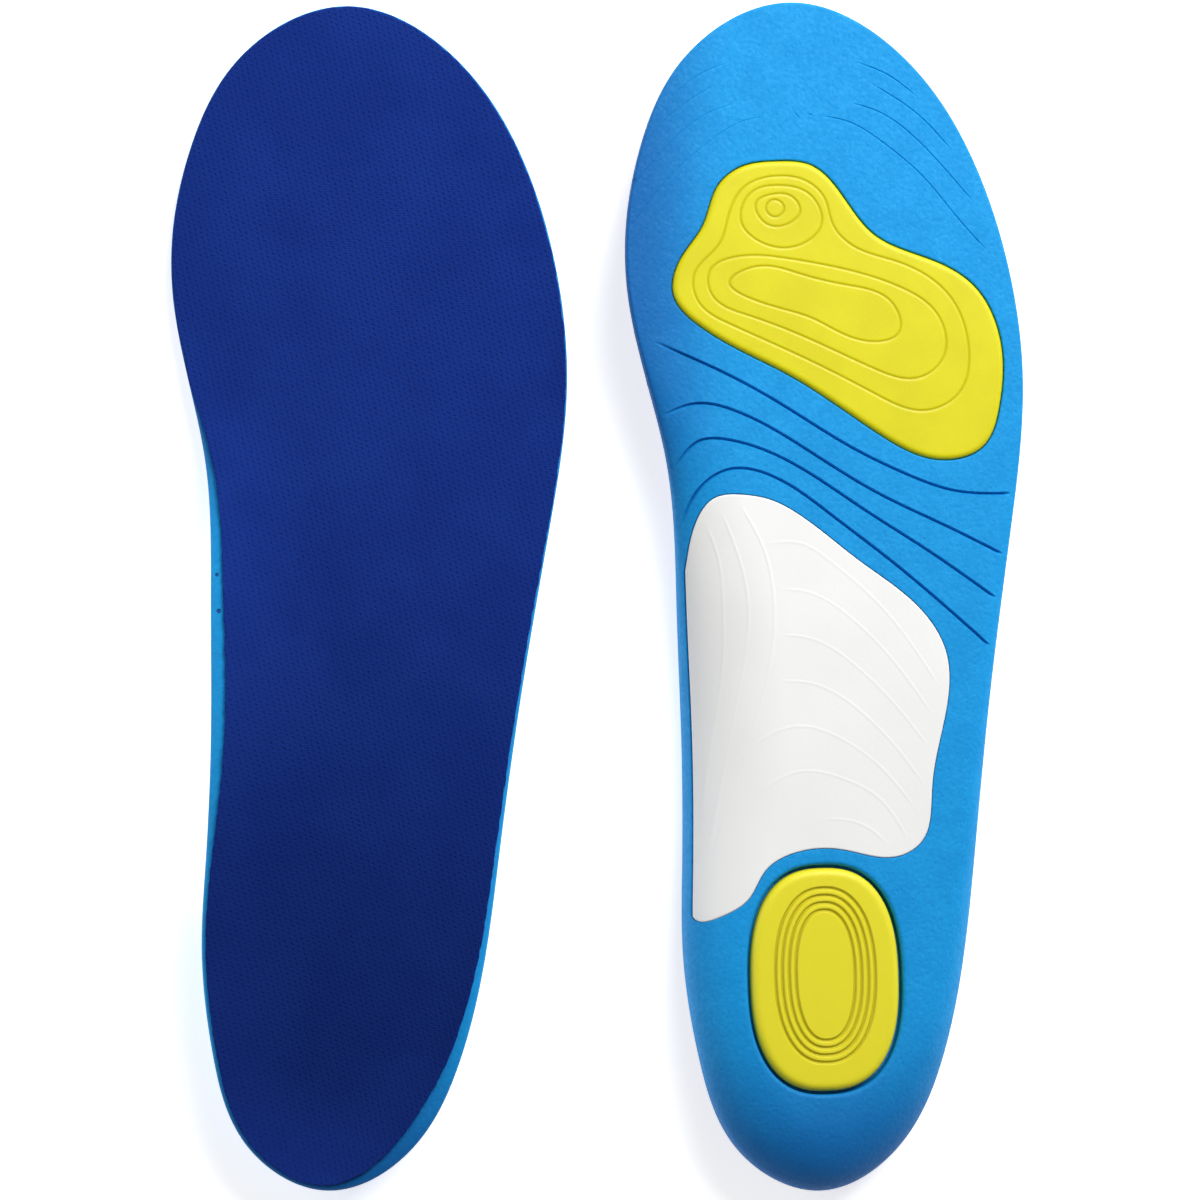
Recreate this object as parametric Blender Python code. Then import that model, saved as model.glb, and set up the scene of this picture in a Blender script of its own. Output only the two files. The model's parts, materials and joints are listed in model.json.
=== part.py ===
"""A pair of cushioned insoles, EU size 43: the right one lies cover up, the left one sole up.

Each insole is a moulded foam base under a knitted top cover, bonded by an adhesive film. The sole
side carries a forefoot gel pad, an arch shell and a heel gel pad, each glued into its own recess.
Both insoles have one shape: the left one is the right one mirrored. The foam bends across the flex
grooves behind the forefoot pad, so foam, film and cover are split there along one straight line,
and a hinge joins the halves.

The insole's own frame, in millimetres: X from the inner to the outer side of the foot, Y from the
heel to the toe, Z up from the faces of the gel pads.
"""

import math

import bmesh
import bpy
import numpy as np
from mathutils import Matrix, Vector
from mathutils.geometry import delaunay_2d_cdt

MM = 0.001  # metres in a millimetre

# Layers, from the top surface down.
COVER_THICKNESS = 0.9
FILM_THICKNESS = 0.2
LAYER_GAP = 0.1  # clearance between bonded layers
FOAM_DEPTH = COVER_THICKNESS + FILM_THICKNESS + 2 * LAYER_GAP  # foam top, below the cover's top
SOLE = 0.4  # height of the foam's flat sole
BAND_DROP = 0.8  # how far the foam falls from the cover's edge to the outline

# The insole's form, once round from the inner side of the ball. Each row is a place on the outline
# with the height of the rim there, the height that the outer wall climbs from the sole, the width
# of that wall, how far in the bowl of the top surface ends, and the width of bare foam at the rim.
RIM = (
    # x, y, rim, wall, flare, bowl, band
    (-47.2, 215.0, 5.0, 0.0, 4.0, 12.0, 0.0),  # ball, inner side
    (-44.2, 199.0, 5.5, 0.5, 6.0, 14.0, 0.0),
    (-38.0, 173.0, 9.5, 4.5, 14.0, 24.0, 1.9),
    (-35.5, 141.0, 17.0, 12.0, 21.0, 31.0, 3.2),
    (-34.5, 108.0, 21.0, 16.0, 22.0, 32.0, 3.4),  # top of the arch
    (-35.3, 78.0, 20.0, 15.0, 18.0, 29.0, 1.5),
    (-36.0, 58.0, 18.0, 13.0, 15.0, 26.0, 1.1),
    (-33.0, 32.0, 16.0, 11.0, 13.5, 23.0, 1.1),
    (-25.0, 11.0, 15.0, 10.0, 16.0, 22.0, 1.1),
    (-5.0, 0.0, 14.5, 10.0, 18.0, 22.0, 1.6),  # back of the heel
    (15.5, 11.0, 14.5, 10.0, 16.0, 21.0, 4.0),
    (25.5, 30.0, 14.0, 9.5, 12.5, 20.0, 3.1),
    (31.5, 56.0, 12.5, 8.0, 10.0, 19.0, 1.6),
    (34.3, 80.0, 10.5, 5.5, 7.0, 18.0, 1.0),
    (39.0, 120.0, 8.0, 3.0, 6.0, 16.0, 0.6),
    (45.0, 160.0, 6.2, 1.0, 5.0, 14.0, 0.3),
    (48.5, 194.0, 5.3, 0.2, 4.0, 12.0, 0.0),  # ball, outer side
    (45.0, 224.0, 5.0, 0.0, 4.0, 12.0, 0.0),
    (36.0, 250.5, 4.6, 0.0, 4.0, 12.0, 0.0),
    (22.0, 271.0, 4.3, 0.0, 4.0, 12.0, 0.0),
    (-6.0, 285.0, 4.2, 0.0, 4.0, 12.0, 0.0),  # tip of the toe
    (-33.0, 271.0, 4.3, 0.0, 4.0, 12.0, 0.0),
    (-43.5, 250.0, 4.6, 0.0, 4.0, 12.0, 0.0),
    (-47.4, 230.0, 4.9, 0.0, 4.0, 12.0, 0.0),
)
FLOOR = ((0.0, 6.5), (55.0, 6.6), (110.0, 7.6), (150.0, 6.8), (195.0, 5.2), (240.0, 4.8), (285.0, 4.2))
LEAST_BAND = 0.3  # the cover stops this far inside the foam's edge where no band shows
BOWL_POWER = 2.2
HEEL_CENTRE = (-3.0, 32.0)  # ends of the spine, which every ray across the insole starts from
TOE_CENTRE = (0.0, 238.0)
TURN_LENGTH = 40.0  # outline length counted for one radian round the heel or the toe
SIDE_RAYS = 15  # along each side
END_RAYS = 9  # between the sides, round the heel and again round the toe

# What the sole carries.
FOREFOOT_PAD = (
    (-10.6, 246.7), (-2.5, 245.8), (5.5, 237.9), (12.6, 229.0), (26.9, 222.6), (37.1, 216.2),
    (43.1, 203.2), (42.4, 187.1), (38.2, 177.6), (27.4, 174.5), (13.1, 180.5), (-9.1, 195.3),
    (-30.2, 207.1), (-36.7, 215.0), (-34.6, 223.5), (-29.0, 231.5), (-25.4, 240.5), (-18.8, 245.6),
)  # fmt: skip
FOREFOOT_PAD_THICKNESS = 2.0
FOREFOOT_PAD_GAP = 0.3
HEEL_PAD_CENTRE = (-4.3, 51.0)
HEEL_PAD_HALF = (18.0, 26.5)
HEEL_PAD_POWER = 2.5  # between an ellipse, 2, and a rectangle
HEEL_PAD_THICKNESS = 2.8
HEEL_PAD_GAP = 1.2
PAD_EDGE = 0.8  # rounding of a pad's lower edge
GLUE_THICKNESS = 0.16
GLUE_GAP = 0.12
GLUE_INSET = 2.0
ARCH_SHELL = (
    (-28.3, 166.0), (-21.4, 166.9), (-14.3, 165.5), (-6.3, 161.0), (6.8, 150.6), (22.0, 138.1),
    (27.5, 128.1), (26.8, 113.1), (23.1, 96.2), (19.9, 82.8), (14.2, 79.7), (1.1, 81.6),
    (-11.1, 81.2), (-18.3, 77.0), (-22.0, 71.0), (-28.9, 66.5), (-34.0, 65.7), (-35.5, 68.7),
    (-35.7, 90.7), (-35.4, 115.6), (-35.4, 140.5), (-34.2, 152.3), (-32.1, 161.1),
)  # fmt: skip
SHELL_THICKNESS = 1.3
SHELL_RIM_INSET = 1.2  # the shell's upper edge lies this far inside the outline
SHELL_GAP = 0.3
SHELL_ROWS = (3.0, 6.0, 10.5, 17.0, 25.0, 34.0, 43.0, 52.0)  # distances in from the inner outline
SHELL_ROW_STEP = 10.0

# Flex grooves across the sole, ahead of the split and behind it.
FRONT_GROOVE = (
    (-39.2, 202.6), (-24.2, 195.7), (-9.1, 186.9), (6.1, 177.5), (19.2, 171.0), (31.5, 167.0),
    (42.8, 166.1),
)  # fmt: skip
REAR_GROOVE = (
    (-34.0, 163.1), (-27.4, 171.4), (-17.3, 172.7), (-6.2, 166.5), (15.0, 150.0), (31.2, 137.0),
    (38.4, 129.5),
)  # fmt: skip
GROOVE_WIDTH = 1.0
GROOVE_DEPTH = 1.2
GROOVE_POINTS = 12

# The flex line, where the foam bends, and the hinge that stands for it.
FLEX_INNER = (-43.2, 189.7)
FLEX_OUTER = (43.9, 152.1)
FLEX_GAP = 0.5
HINGE_ABOVE_COVER = 7.8  # right insole: toes bend towards the cover
HINGE_AT_SOLE = 0.2  # left insole: toes bend towards the sole

# How the pair lies.
MIDDLE = (0.0, 150.7)  # centre of the insole's area
PLACES = {
    # side: x and y of its middle, and the degrees that it turns its toe inwards
    "right": (-56.1, 0.0, 1.08),
    "left": (57.0, 0.35, 1.34),
}

COLOURS = {
    "top_cover": ((0.008, 0.030, 0.20), 0.85),
    "cover_film": ((0.80, 0.80, 0.76), 0.50),
    "foam_base": ((0.03, 0.30, 0.72), 0.80),
    "forefoot_gel_pad": ((0.78, 0.70, 0.02), 0.40),
    "heel_gel_pad": ((0.78, 0.70, 0.02), 0.40),
    "arch_shell": ((0.86, 0.86, 0.85), 0.45),
    "pad_glue": ((0.75, 0.72, 0.60), 0.50),
}


# ---------------------------------------------------------------- curves


def spline(knots, values, at):
    """A smooth cubic, with free ends, through rows of values at rising knots."""
    knots, values = np.asarray(knots, float), np.asarray(values, float)
    step = np.diff(knots)
    rise = np.diff(values, axis=0) / step[:, None]
    matrix = np.zeros((len(knots), len(knots)))
    matrix[0, :2] = 2, 1
    matrix[-1, -2:] = 1, 2
    target = np.zeros_like(values)
    target[0], target[-1] = 3 * rise[0], 3 * rise[-1]
    for i in range(1, len(knots) - 1):
        before, after = 1 / step[i - 1], 1 / step[i]
        matrix[i, i - 1 : i + 2] = before, 2 * (before + after), after
        target[i] = 3 * (rise[i - 1] * before + rise[i] * after)
    slope = np.linalg.solve(matrix, target)
    i = np.clip(np.searchsorted(knots, at, side="right") - 1, 0, len(step) - 1)
    h = step[i][:, None]
    t = (np.asarray(at)[:, None] - knots[i][:, None]) / h
    return (
        values[i] * (1 + 2 * t) * (1 - t) ** 2
        + values[i + 1] * t * t * (3 - 2 * t)
        + slope[i] * h * t * (1 - t) ** 2
        - slope[i + 1] * h * t * t * (1 - t)
    )


def open_curve(points, count):
    """count points along a smooth curve through the points."""
    points = np.asarray(points, float)
    run = np.append(0, np.cumsum(np.linalg.norm(np.diff(points, axis=0), axis=1)))
    return spline(run, points, np.linspace(0, run[-1], count))


def closed_curve(rows, count):
    """count rows round a smooth closed curve through the rows, whose first two columns are x, y."""
    rows = np.asarray(rows, float)
    ends = np.roll(rows, -1, axis=0)
    run = np.cumsum(np.linalg.norm((ends - rows)[:, :2], axis=1))
    total = run[-1]
    knots = np.append(0, run[:-1])
    knots = np.concatenate([knots - total, knots, knots + total])
    return spline(knots, np.tile(rows, (3, 1)), np.arange(count) * total / count)


def grown(loop, distance):
    """A closed loop of points moved outwards by a distance, or inwards by a negative one."""
    along = np.roll(loop, -1, axis=0) - np.roll(loop, 1, axis=0)
    normal = np.stack([along[:, 1], -along[:, 0]], axis=1)
    normal /= np.linalg.norm(normal, axis=1)[:, None]
    x, y = loop.T
    area = np.sum(x * np.roll(y, -1) - np.roll(x, -1) * y)
    return loop + normal * distance * np.sign(area)


# ---------------------------------------------------------------- the insole's form

SPINE_LENGTH = TOE_CENTRE[1] - HEEL_CENTRE[1]
HALF_TURN = math.pi * TURN_LENGTH
# Ray numbers where the inner side, the heel, the outer side and the toe end, once round.
NUMBERS = np.cumsum([0, SPINE_LENGTH, HALF_TURN, SPINE_LENGTH, HALF_TURN])
ROUND = NUMBERS[-1]
SPINE_Y = (TOE_CENTRE[1], HEEL_CENTRE[1], HEEL_CENTRE[1], TOE_CENTRE[1], TOE_CENTRE[1])


def spine_x_at(y):
    share = (y - HEEL_CENTRE[1]) / SPINE_LENGTH
    return HEEL_CENTRE[0] + share * (TOE_CENTRE[0] - HEEL_CENTRE[0])


def ray_number(x, y):
    """Which ray a point lies on, counted down the inner side, round the heel, up and round the toe."""
    spine_y = np.clip(y, HEEL_CENTRE[1], TOE_CENTRE[1])
    spine_x = spine_x_at(spine_y)
    heel_turn = np.arctan2(x - spine_x, spine_y - y) + math.pi / 2
    toe_turn = math.pi / 2 - np.arctan2(x - spine_x, y - spine_y)
    _, heel, outer, toe, _ = NUMBERS
    return np.select(
        [y < HEEL_CENTRE[1], y > TOE_CENTRE[1], x < spine_x],
        [heel + TURN_LENGTH * heel_turn, toe + TURN_LENGTH * toe_turn, TOE_CENTRE[1] - y],
        outer + y - HEEL_CENTRE[1],
    )


FINE_RIM = closed_curve(RIM, 1440)
FINE_NUMBERS = ray_number(FINE_RIM[:, 0], FINE_RIM[:, 1])
FLOOR_Y, FLOOR_Z = np.array(FLOOR).T


class Rays:
    """The rays with the given numbers: the outline's point, the rim's sizes and the spine's point."""

    def __init__(self, numbers):
        columns = [np.interp(numbers, FINE_NUMBERS, column, period=ROUND) for column in FINE_RIM.T]
        self.x, self.y, self.rim, wall, self.flare, self.bowl, band = columns
        self.wall = np.maximum(wall, 0)
        self.band = np.maximum(band, LEAST_BAND)
        self.spine_y = np.interp(np.mod(numbers, ROUND), NUMBERS, SPINE_Y)
        self.spine_x = spine_x_at(self.spine_y)
        self.length = np.hypot(self.spine_x - self.x, self.spine_y - self.y)
        self.bowl = np.minimum(self.bowl, 0.96 * self.length)

    def place(self, inset):
        """The plan position that lies inset along each ray from the outline."""
        share = inset / self.length
        return self.x + (self.spine_x - self.x) * share, self.y + (self.spine_y - self.y) * share

    def sole_height(self, inset):
        rise = 1 - np.clip(inset / self.flare, 0, 1)
        return SOLE + self.wall * (1 - np.sqrt(1 - rise**2))

    def cover_height(self, inset):
        y = self.place(inset)[1]
        floor = spline(FLOOR_Y, FLOOR_Z[:, None], y)[:, 0]
        rise = 1 - np.clip((inset - self.band) / (self.bowl - self.band), 0, 1)
        return floor + (self.rim - floor) * rise**BOWL_POWER

    def foam_height(self, inset):
        """The foam's top: under the cover, and falling across the bare band to the outline."""
        fall = np.clip(1 - inset / self.band, 0, 1) ** 2 * np.minimum(BAND_DROP, self.band / 2)
        return self.cover_height(np.maximum(inset, self.band)) - FOAM_DEPTH - fall


def sole_surface(points):
    """The sole's height and upward normal over plan points."""
    step = 0.05

    def height(x, y):
        rays = Rays(ray_number(x, y))
        return rays.sole_height(np.hypot(x - rays.x, y - rays.y))

    x, y = np.asarray(points, float).T
    slope_x = (height(x + step, y) - height(x - step, y)) / (2 * step)
    slope_y = (height(x, y + step) - height(x, y - step)) / (2 * step)
    normal = np.stack([-slope_x, -slope_y, np.ones_like(x)], axis=1)
    return height(x, y), normal / np.linalg.norm(normal, axis=1)[:, None]


def standard_rays():
    """Rays in pairs along the sides, which share the spine's points, and fans round both ends."""
    side = np.linspace(0, SPINE_LENGTH, SIDE_RAYS)
    turn = np.linspace(0, HALF_TURN, END_RAYS + 2)[1:-1]
    _, heel, outer, toe, _ = NUMBERS
    return Rays(np.concatenate([side, heel + turn, outer + side, toe + turn]))


# ---------------------------------------------------------------- meshes


def new_object(name, mesh, collection="pattern"):
    """An object in the named collection, which is made on first use."""
    if collection not in bpy.data.collections:
        bpy.context.scene.collection.children.link(bpy.data.collections.new(collection))
    obj = bpy.data.objects.new(name, mesh)
    bpy.data.collections[collection].objects.link(obj)
    return obj


def solid_from(name, points, faces):
    """An object from points in millimetres and faces, welded, with its faces turned outwards."""
    mesh = bpy.data.meshes.new(name)
    mesh.from_pydata((np.asarray(points) * MM).tolist(), [], faces)
    bm = bmesh.new()
    bm.from_mesh(mesh)
    bmesh.ops.remove_doubles(bm, verts=bm.verts, dist=1e-7)
    bmesh.ops.recalc_face_normals(bm, faces=bm.faces)
    bm.to_mesh(mesh)
    bm.free()
    return new_object(name, mesh)


def loft(name, rings, capped=True, turned=0):
    """A solid through closed rings of equal count; uncapped ends must each close on a line.

    Each quad is split along one diagonal, and in the first strips, turned of them, along the other,
    so that two layers which face each other have the same triangles.
    """
    count = len(rings[0])
    points = np.concatenate(rings)
    faces = []
    for strip in range(len(rings) - 1):
        for i in range(count):
            a, b = strip * count + i, strip * count + (i + 1) % count
            if strip < turned:
                faces += [(a, b, a + count), (b, b + count, a + count)]
            else:
                faces += [(a, b, b + count), (a, b + count, a + count)]
    if capped:
        last = len(points) - count
        faces += [tuple(range(count)), tuple(range(last, last + count))]
    return solid_from(name, points, faces)


def slab(name, loops, heights):
    """A flat solid through plan loops at rising heights."""
    rings = [np.column_stack([loop, np.full(len(loop), z)]) for loop, z in zip(loops, heights)]
    return loft(name, rings)


def curved_layer(name, loop, inside, low, high):
    """A layer that follows the sole's surface, from low to high along its normals."""
    corners = [Vector(point) for point in np.concatenate([loop, inside])]
    border = [(i, (i + 1) % len(loop)) for i in range(len(loop))]
    vertices, _, triangles, *_ = delaunay_2d_cdt(corners, border, [], 1, 1e-6)
    plan = np.array([tuple(v) for v in vertices])
    height, normal = sole_surface(plan)
    base = np.column_stack([plan, height])
    count = len(plan)
    faces = [tuple(t) for t in triangles] + [tuple(i + count for i in t) for t in triangles]
    for a, b in border:
        faces += [(a, b, b + count), (a, b + count, a + count)]
    return solid_from(name, np.concatenate([base + normal * low, base + normal * high]), faces)


def cut(obj, cutter):
    """Adds a Boolean that takes the cutter's space out of the object."""
    cutter.hide_render = True
    cutter.display_type = "WIRE"
    modifier = obj.modifiers.new(f"cut_{cutter.name}", "BOOLEAN")
    modifier.operation = "DIFFERENCE"
    modifier.object = cutter


def finished_mesh(obj):
    """The object's mesh with its modifiers applied, flat shaded."""
    graph = bpy.context.evaluated_depsgraph_get()
    return bpy.data.meshes.new_from_object(obj.evaluated_get(graph))


# ---------------------------------------------------------------- pieces of one insole


def plan_ring(rays, inset, height):
    x, y = rays.place(inset)
    return np.column_stack([x, y, height])


def skin(name, rays, depth, thickness):
    """A layer of the top surface, inside the band, with its upper face at a depth below it."""
    shares = (0, 0.14, 0.36, 0.66, 1)
    insets = [rays.band + (rays.bowl - rays.band) * share for share in shares] + [rays.length]
    upper = [plan_ring(rays, inset, rays.cover_height(inset) - depth) for inset in insets[::-1]]
    lower = [ring - (0, 0, thickness) for ring in upper[::-1]]
    return loft(name, upper + lower, capped=False, turned=len(upper) - 1)


def foam_blank(rays):
    """The foam before its recesses: sole, outer wall, bare band and the face under the cover."""
    sole_insets = [rays.length] + [rays.flare * share for share in (1, 0.55, 0.24, 0.07, 0)]
    shares = (0, 0.14, 0.36, 0.66, 1)
    top_insets = [rays.band * 0] + [rays.band + (rays.bowl - rays.band) * share for share in shares]
    sole = [plan_ring(rays, inset, rays.sole_height(inset)) for inset in sole_insets]
    top = [plan_ring(rays, inset, rays.foam_height(inset)) for inset in top_insets + [rays.length]]
    return loft("foam_blank", sole + top, capped=False)


def heel_pad_loop(growth=0.0, count=40):
    """The heel pad's outline: a superellipse."""
    angle = np.arange(count) * 2 * math.pi / count
    power = 2 / HEEL_PAD_POWER
    x = np.sign(np.cos(angle)) * np.abs(np.cos(angle)) ** power * (HEEL_PAD_HALF[0] + growth)
    y = np.sign(np.sin(angle)) * np.abs(np.sin(angle)) ** power * (HEEL_PAD_HALF[1] + growth)
    return np.column_stack([x, y]) + HEEL_PAD_CENTRE


def gel_pad(name, loop, thickness):
    """A pad with a rounded lower edge."""
    loops = [grown(loop, -PAD_EDGE), grown(loop, -0.3 * PAD_EDGE), loop, loop]
    return slab(name, loops, [0, 0.3 * PAD_EDGE, PAD_EDGE, thickness])


def glue_bed(name, loop, thickness):
    low = thickness + GLUE_GAP
    return slab(name, [grown(loop, -GLUE_INSET)] * 2, [low, low + GLUE_THICKNESS])


def pad_recess(name, loop, gap, thickness):
    """The cutter for a pad's recess, with room for its glue."""
    ceiling = thickness + GLUE_THICKNESS + 2 * GLUE_GAP
    return slab(name, [grown(loop, gap)] * 2, [SOLE - 2, ceiling])


def shell_loop():
    """The shell's outline, kept the same distance inside the insole's own along the arch."""
    loop = closed_curve(ARCH_SHELL, 60)
    rays = Rays(ray_number(*loop.T))
    beyond = np.sign(rays.spine_x - rays.x) * (loop[:, 0] - rays.x) < SHELL_RIM_INSET
    edge = np.column_stack(rays.place(np.full(len(loop), SHELL_RIM_INSET)))
    return np.where(beyond[:, None], edge, loop)


def shell_inside(loop):
    """Points over the shell, in rows at set distances from the inner outline."""
    points = []
    for y in np.arange(loop[:, 1].min(), loop[:, 1].max(), SHELL_ROW_STEP):
        rays = Rays(ray_number(np.array([-30.0]), np.array([y])))
        points += [(rays.x[0] + inset, y) for inset in SHELL_ROWS]
    points = np.array(points)
    ahead = np.roll(loop, -1, axis=0)
    x, y = points.T[:, :, None]
    crosses = (loop[:, 1] > y) != (ahead[:, 1] > y)
    with np.errstate(divide="ignore", invalid="ignore"):
        at = loop[:, 0] + (y - loop[:, 1]) * (ahead - loop)[:, 0] / (ahead - loop)[:, 1]
    within = (crosses & (x < at)).sum(axis=1) % 2 == 1
    clear = np.hypot(x - loop[:, 0], y - loop[:, 1]).min(axis=1) > 1.6
    return points[within & clear]


def groove_cutter(name, points):
    """A bar that sweeps a flex groove along the sole."""
    path = open_curve(points, GROOVE_POINTS)
    along = np.gradient(path, axis=0)
    across = np.column_stack([-along[:, 1], along[:, 0]])
    across *= GROOVE_WIDTH / 2 / np.linalg.norm(across, axis=1)[:, None]
    ceiling = sole_surface(path)[0] + GROOVE_DEPTH
    rings = []
    for centre, side, top in zip(path, across, ceiling):
        left, right = centre - side, centre + side
        rings.append(np.array([(*left, -2), (*right, -2), (*right, top), (*left, top)]))
    return loft(name, rings)


def beyond_flex_line(name, sign):
    """A block over all that lies ahead of the flex line, or behind it."""
    inner, outer = Vector(FLEX_INNER), Vector(FLEX_OUTER)
    along = (outer - inner).normalized()
    forward = Vector((-along.y, along.x)) * sign
    near = (inner + outer) / 2 - forward * FLEX_GAP / 2
    reach, width = 320.0, 120.0
    corners = [near - along * width, near + along * width]
    corners += [corner + forward * reach for corner in corners[::-1]]
    plan = np.array([tuple(corner) for corner in corners])
    return slab(name, [plan, plan], [-20, 60])


def insole_pieces():
    """Finished meshes of one right insole by piece name, and which of them flex with the toes."""
    rays = standard_rays()
    front_block = beyond_flex_line("ahead_of_flex_line", 1)
    rear_block = beyond_flex_line("behind_flex_line", -1)
    forefoot_loop = closed_curve(FOREFOOT_PAD, 48)
    heel_loop = heel_pad_loop()
    shell = shell_loop()
    inside = shell_inside(shell)
    recess_depth = SHELL_THICKNESS + GLUE_THICKNESS + 2 * GLUE_GAP
    glue_low = SHELL_THICKNESS + GLUE_GAP

    rear, front = {}, {}
    for name, depth, thickness in (
        ("top_cover", 0, COVER_THICKNESS),
        ("cover_film", COVER_THICKNESS + LAYER_GAP, FILM_THICKNESS),
    ):
        rear[f"{name}_rear"] = skin(f"{name}_rear_pattern", rays, depth, thickness)
        front[f"{name}_front"] = skin(f"{name}_front_pattern", rays, depth, thickness)
    rear["foam_base_rear"] = foam_blank(rays)
    front["foam_base_front"] = foam_blank(rays)
    for half, block in ((rear, front_block), (front, rear_block)):
        for obj in half.values():
            cut(obj, block)

    for foam, cutter in (
        (
            front["foam_base_front"],
            pad_recess("forefoot_recess", forefoot_loop, FOREFOOT_PAD_GAP, FOREFOOT_PAD_THICKNESS),
        ),
        (front["foam_base_front"], groove_cutter("front_groove", FRONT_GROOVE)),
        (
            rear["foam_base_rear"],
            pad_recess("heel_recess", heel_loop, HEEL_PAD_GAP, HEEL_PAD_THICKNESS),
        ),
        (rear["foam_base_rear"], groove_cutter("rear_groove", REAR_GROOVE)),
        (
            rear["foam_base_rear"],
            curved_layer("shell_recess", grown(shell, SHELL_GAP), inside, -1.5, recess_depth),
        ),
    ):
        cut(foam, cutter)

    front["forefoot_gel_pad"] = gel_pad("forefoot_pattern", forefoot_loop, FOREFOOT_PAD_THICKNESS)
    front["forefoot_pad_glue"] = glue_bed("forefoot_glue", forefoot_loop, FOREFOOT_PAD_THICKNESS)
    rear["arch_shell"] = curved_layer("shell_pattern", shell, inside, 0, SHELL_THICKNESS)
    rear["arch_shell_glue"] = curved_layer(
        "shell_glue", shell, inside, glue_low, glue_low + GLUE_THICKNESS
    )
    rear["heel_gel_pad"] = gel_pad("heel_pattern", heel_loop, HEEL_PAD_THICKNESS)
    rear["heel_pad_glue"] = glue_bed("heel_glue", heel_loop, HEEL_PAD_THICKNESS)
    return [{name: finished_mesh(obj) for name, obj in half.items()} for half in (rear, front)]


# ---------------------------------------------------------------- the pair


def material_for(piece):
    """The piece's own Principled material."""
    kind = next((kind for kind in COLOURS if piece.startswith(kind)), "pad_glue")
    colour, roughness = COLOURS[kind]
    material = bpy.data.materials.new(piece)
    material.use_nodes = True
    shader = material.node_tree.nodes["Principled BSDF"]
    shader.inputs["Base Color"].default_value = (*colour, 1)
    shader.inputs["Roughness"].default_value = roughness
    shader.inputs["Metallic"].default_value = 0
    return material


def resting_sole_up(meshes):
    """The matrix that mirrors the insole through its sole plane and sets it down on its cover."""
    mirror = Matrix.Diagonal((1, 1, -1, 1))
    bm = bmesh.new()
    for mesh in meshes:
        for vertex in mesh.vertices:
            bm.verts.new(mirror @ vertex.co)
    hull = bmesh.ops.convex_hull(bm, input=bm.verts)["geom"]
    middle = Vector((*MIDDLE, 0)) * MM
    for face in (item for item in hull if isinstance(item, bmesh.types.BMFace)):
        corners = [vertex.co.copy() for vertex in face.verts]
        normal = face.normal.copy()
        flat = [corner.to_2d() for corner in corners]
        turns = [(b - a).cross(middle.to_2d() - a) for a, b in zip(flat, flat[1:] + flat[:1])]
        if normal.z < -0.5 and (min(turns) >= 0 or max(turns) <= 0):
            break
    else:
        raise ValueError("the insole has no face to rest on")
    bm.free()
    tilt = normal.rotation_difference(Vector((0, 0, -1))).to_matrix().to_4x4()
    lift = Matrix.Translation((0, 0, -(tilt @ corners[0]).z))
    return lift @ tilt @ mirror


def laid_out(side, matrix, hinge_height, rear, front):
    """Makes one insole's nodes under an empty for its frame and one on its hinge's axis."""
    x, y, toe_in = PLACES[side]
    turn = math.radians(-toe_in if side == "right" else toe_in)
    to_middle = Matrix.Translation((-MIDDLE[0] * MM, -MIDDLE[1] * MM, 0))
    frame = new_object(f"{side}_insole", None, "insole_pair")
    frame.matrix_world = (
        Matrix.Translation((x * MM, y * MM, 0)) @ Matrix.Rotation(turn, 4, "Z") @ to_middle @ matrix
    )
    hinge = new_object(f"{side}_toe_flex", None, "insole_pair")
    hinge.parent = frame
    middle = (Vector(FLEX_INNER) + Vector(FLEX_OUTER)) / 2
    hinge.location = Vector((*middle, hinge_height)) * MM
    for parent, pieces in ((frame, rear), (hinge, front)):
        for piece, mesh in pieces.items():
            node = new_object(f"{side}_{piece}", mesh, "insole_pair")
            node.parent = parent
            node.location = -hinge.location if parent is hinge else (0, 0, 0)
    return frame


def centre_on_floor(frames):
    """Moves the pair so that the frame's origin is the middle of its box, at the bottom."""
    bpy.context.view_layer.update()
    corners = np.array(
        [
            tuple(node.matrix_world @ vertex.co)
            for node in bpy.data.collections["insole_pair"].objects
            if node.type == "MESH"
            for vertex in node.data.vertices
        ]
    )
    low, high = corners.min(axis=0), corners.max(axis=0)
    move = Vector((-(low[0] + high[0]) / 2, -(low[1] + high[1]) / 2, -low[2]))
    for frame in frames:
        frame.location += move


def main():
    for obj in list(bpy.data.objects):
        bpy.data.objects.remove(obj)
    rear, front = insole_pieces()
    for piece, mesh in [*rear.items(), *front.items()]:
        mesh.name = piece
        mesh.materials.clear()
        mesh.materials.append(material_for(piece))
    for pattern in list(bpy.data.collections["pattern"].objects):
        bpy.data.objects.remove(pattern)
    bpy.data.collections.remove(bpy.data.collections["pattern"])
    upside_down = resting_sole_up([*rear.values(), *front.values()])
    frames = [
        laid_out("right", Matrix.Identity(4), HINGE_ABOVE_COVER, rear, front),
        laid_out("left", upside_down, HINGE_AT_SOLE, rear, front),
    ]
    centre_on_floor(frames)


main()
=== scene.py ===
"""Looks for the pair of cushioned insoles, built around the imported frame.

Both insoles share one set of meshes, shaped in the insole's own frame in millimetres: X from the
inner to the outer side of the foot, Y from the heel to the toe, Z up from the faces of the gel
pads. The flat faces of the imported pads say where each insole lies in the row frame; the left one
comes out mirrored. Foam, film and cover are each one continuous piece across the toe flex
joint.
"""

import json
import math

import bmesh
import bpy
import numpy as np
from mathutils import Matrix, Quaternion, Vector
from mathutils.geometry import delaunay_2d_cdt
from mathutils.kdtree import KDTree


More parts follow.
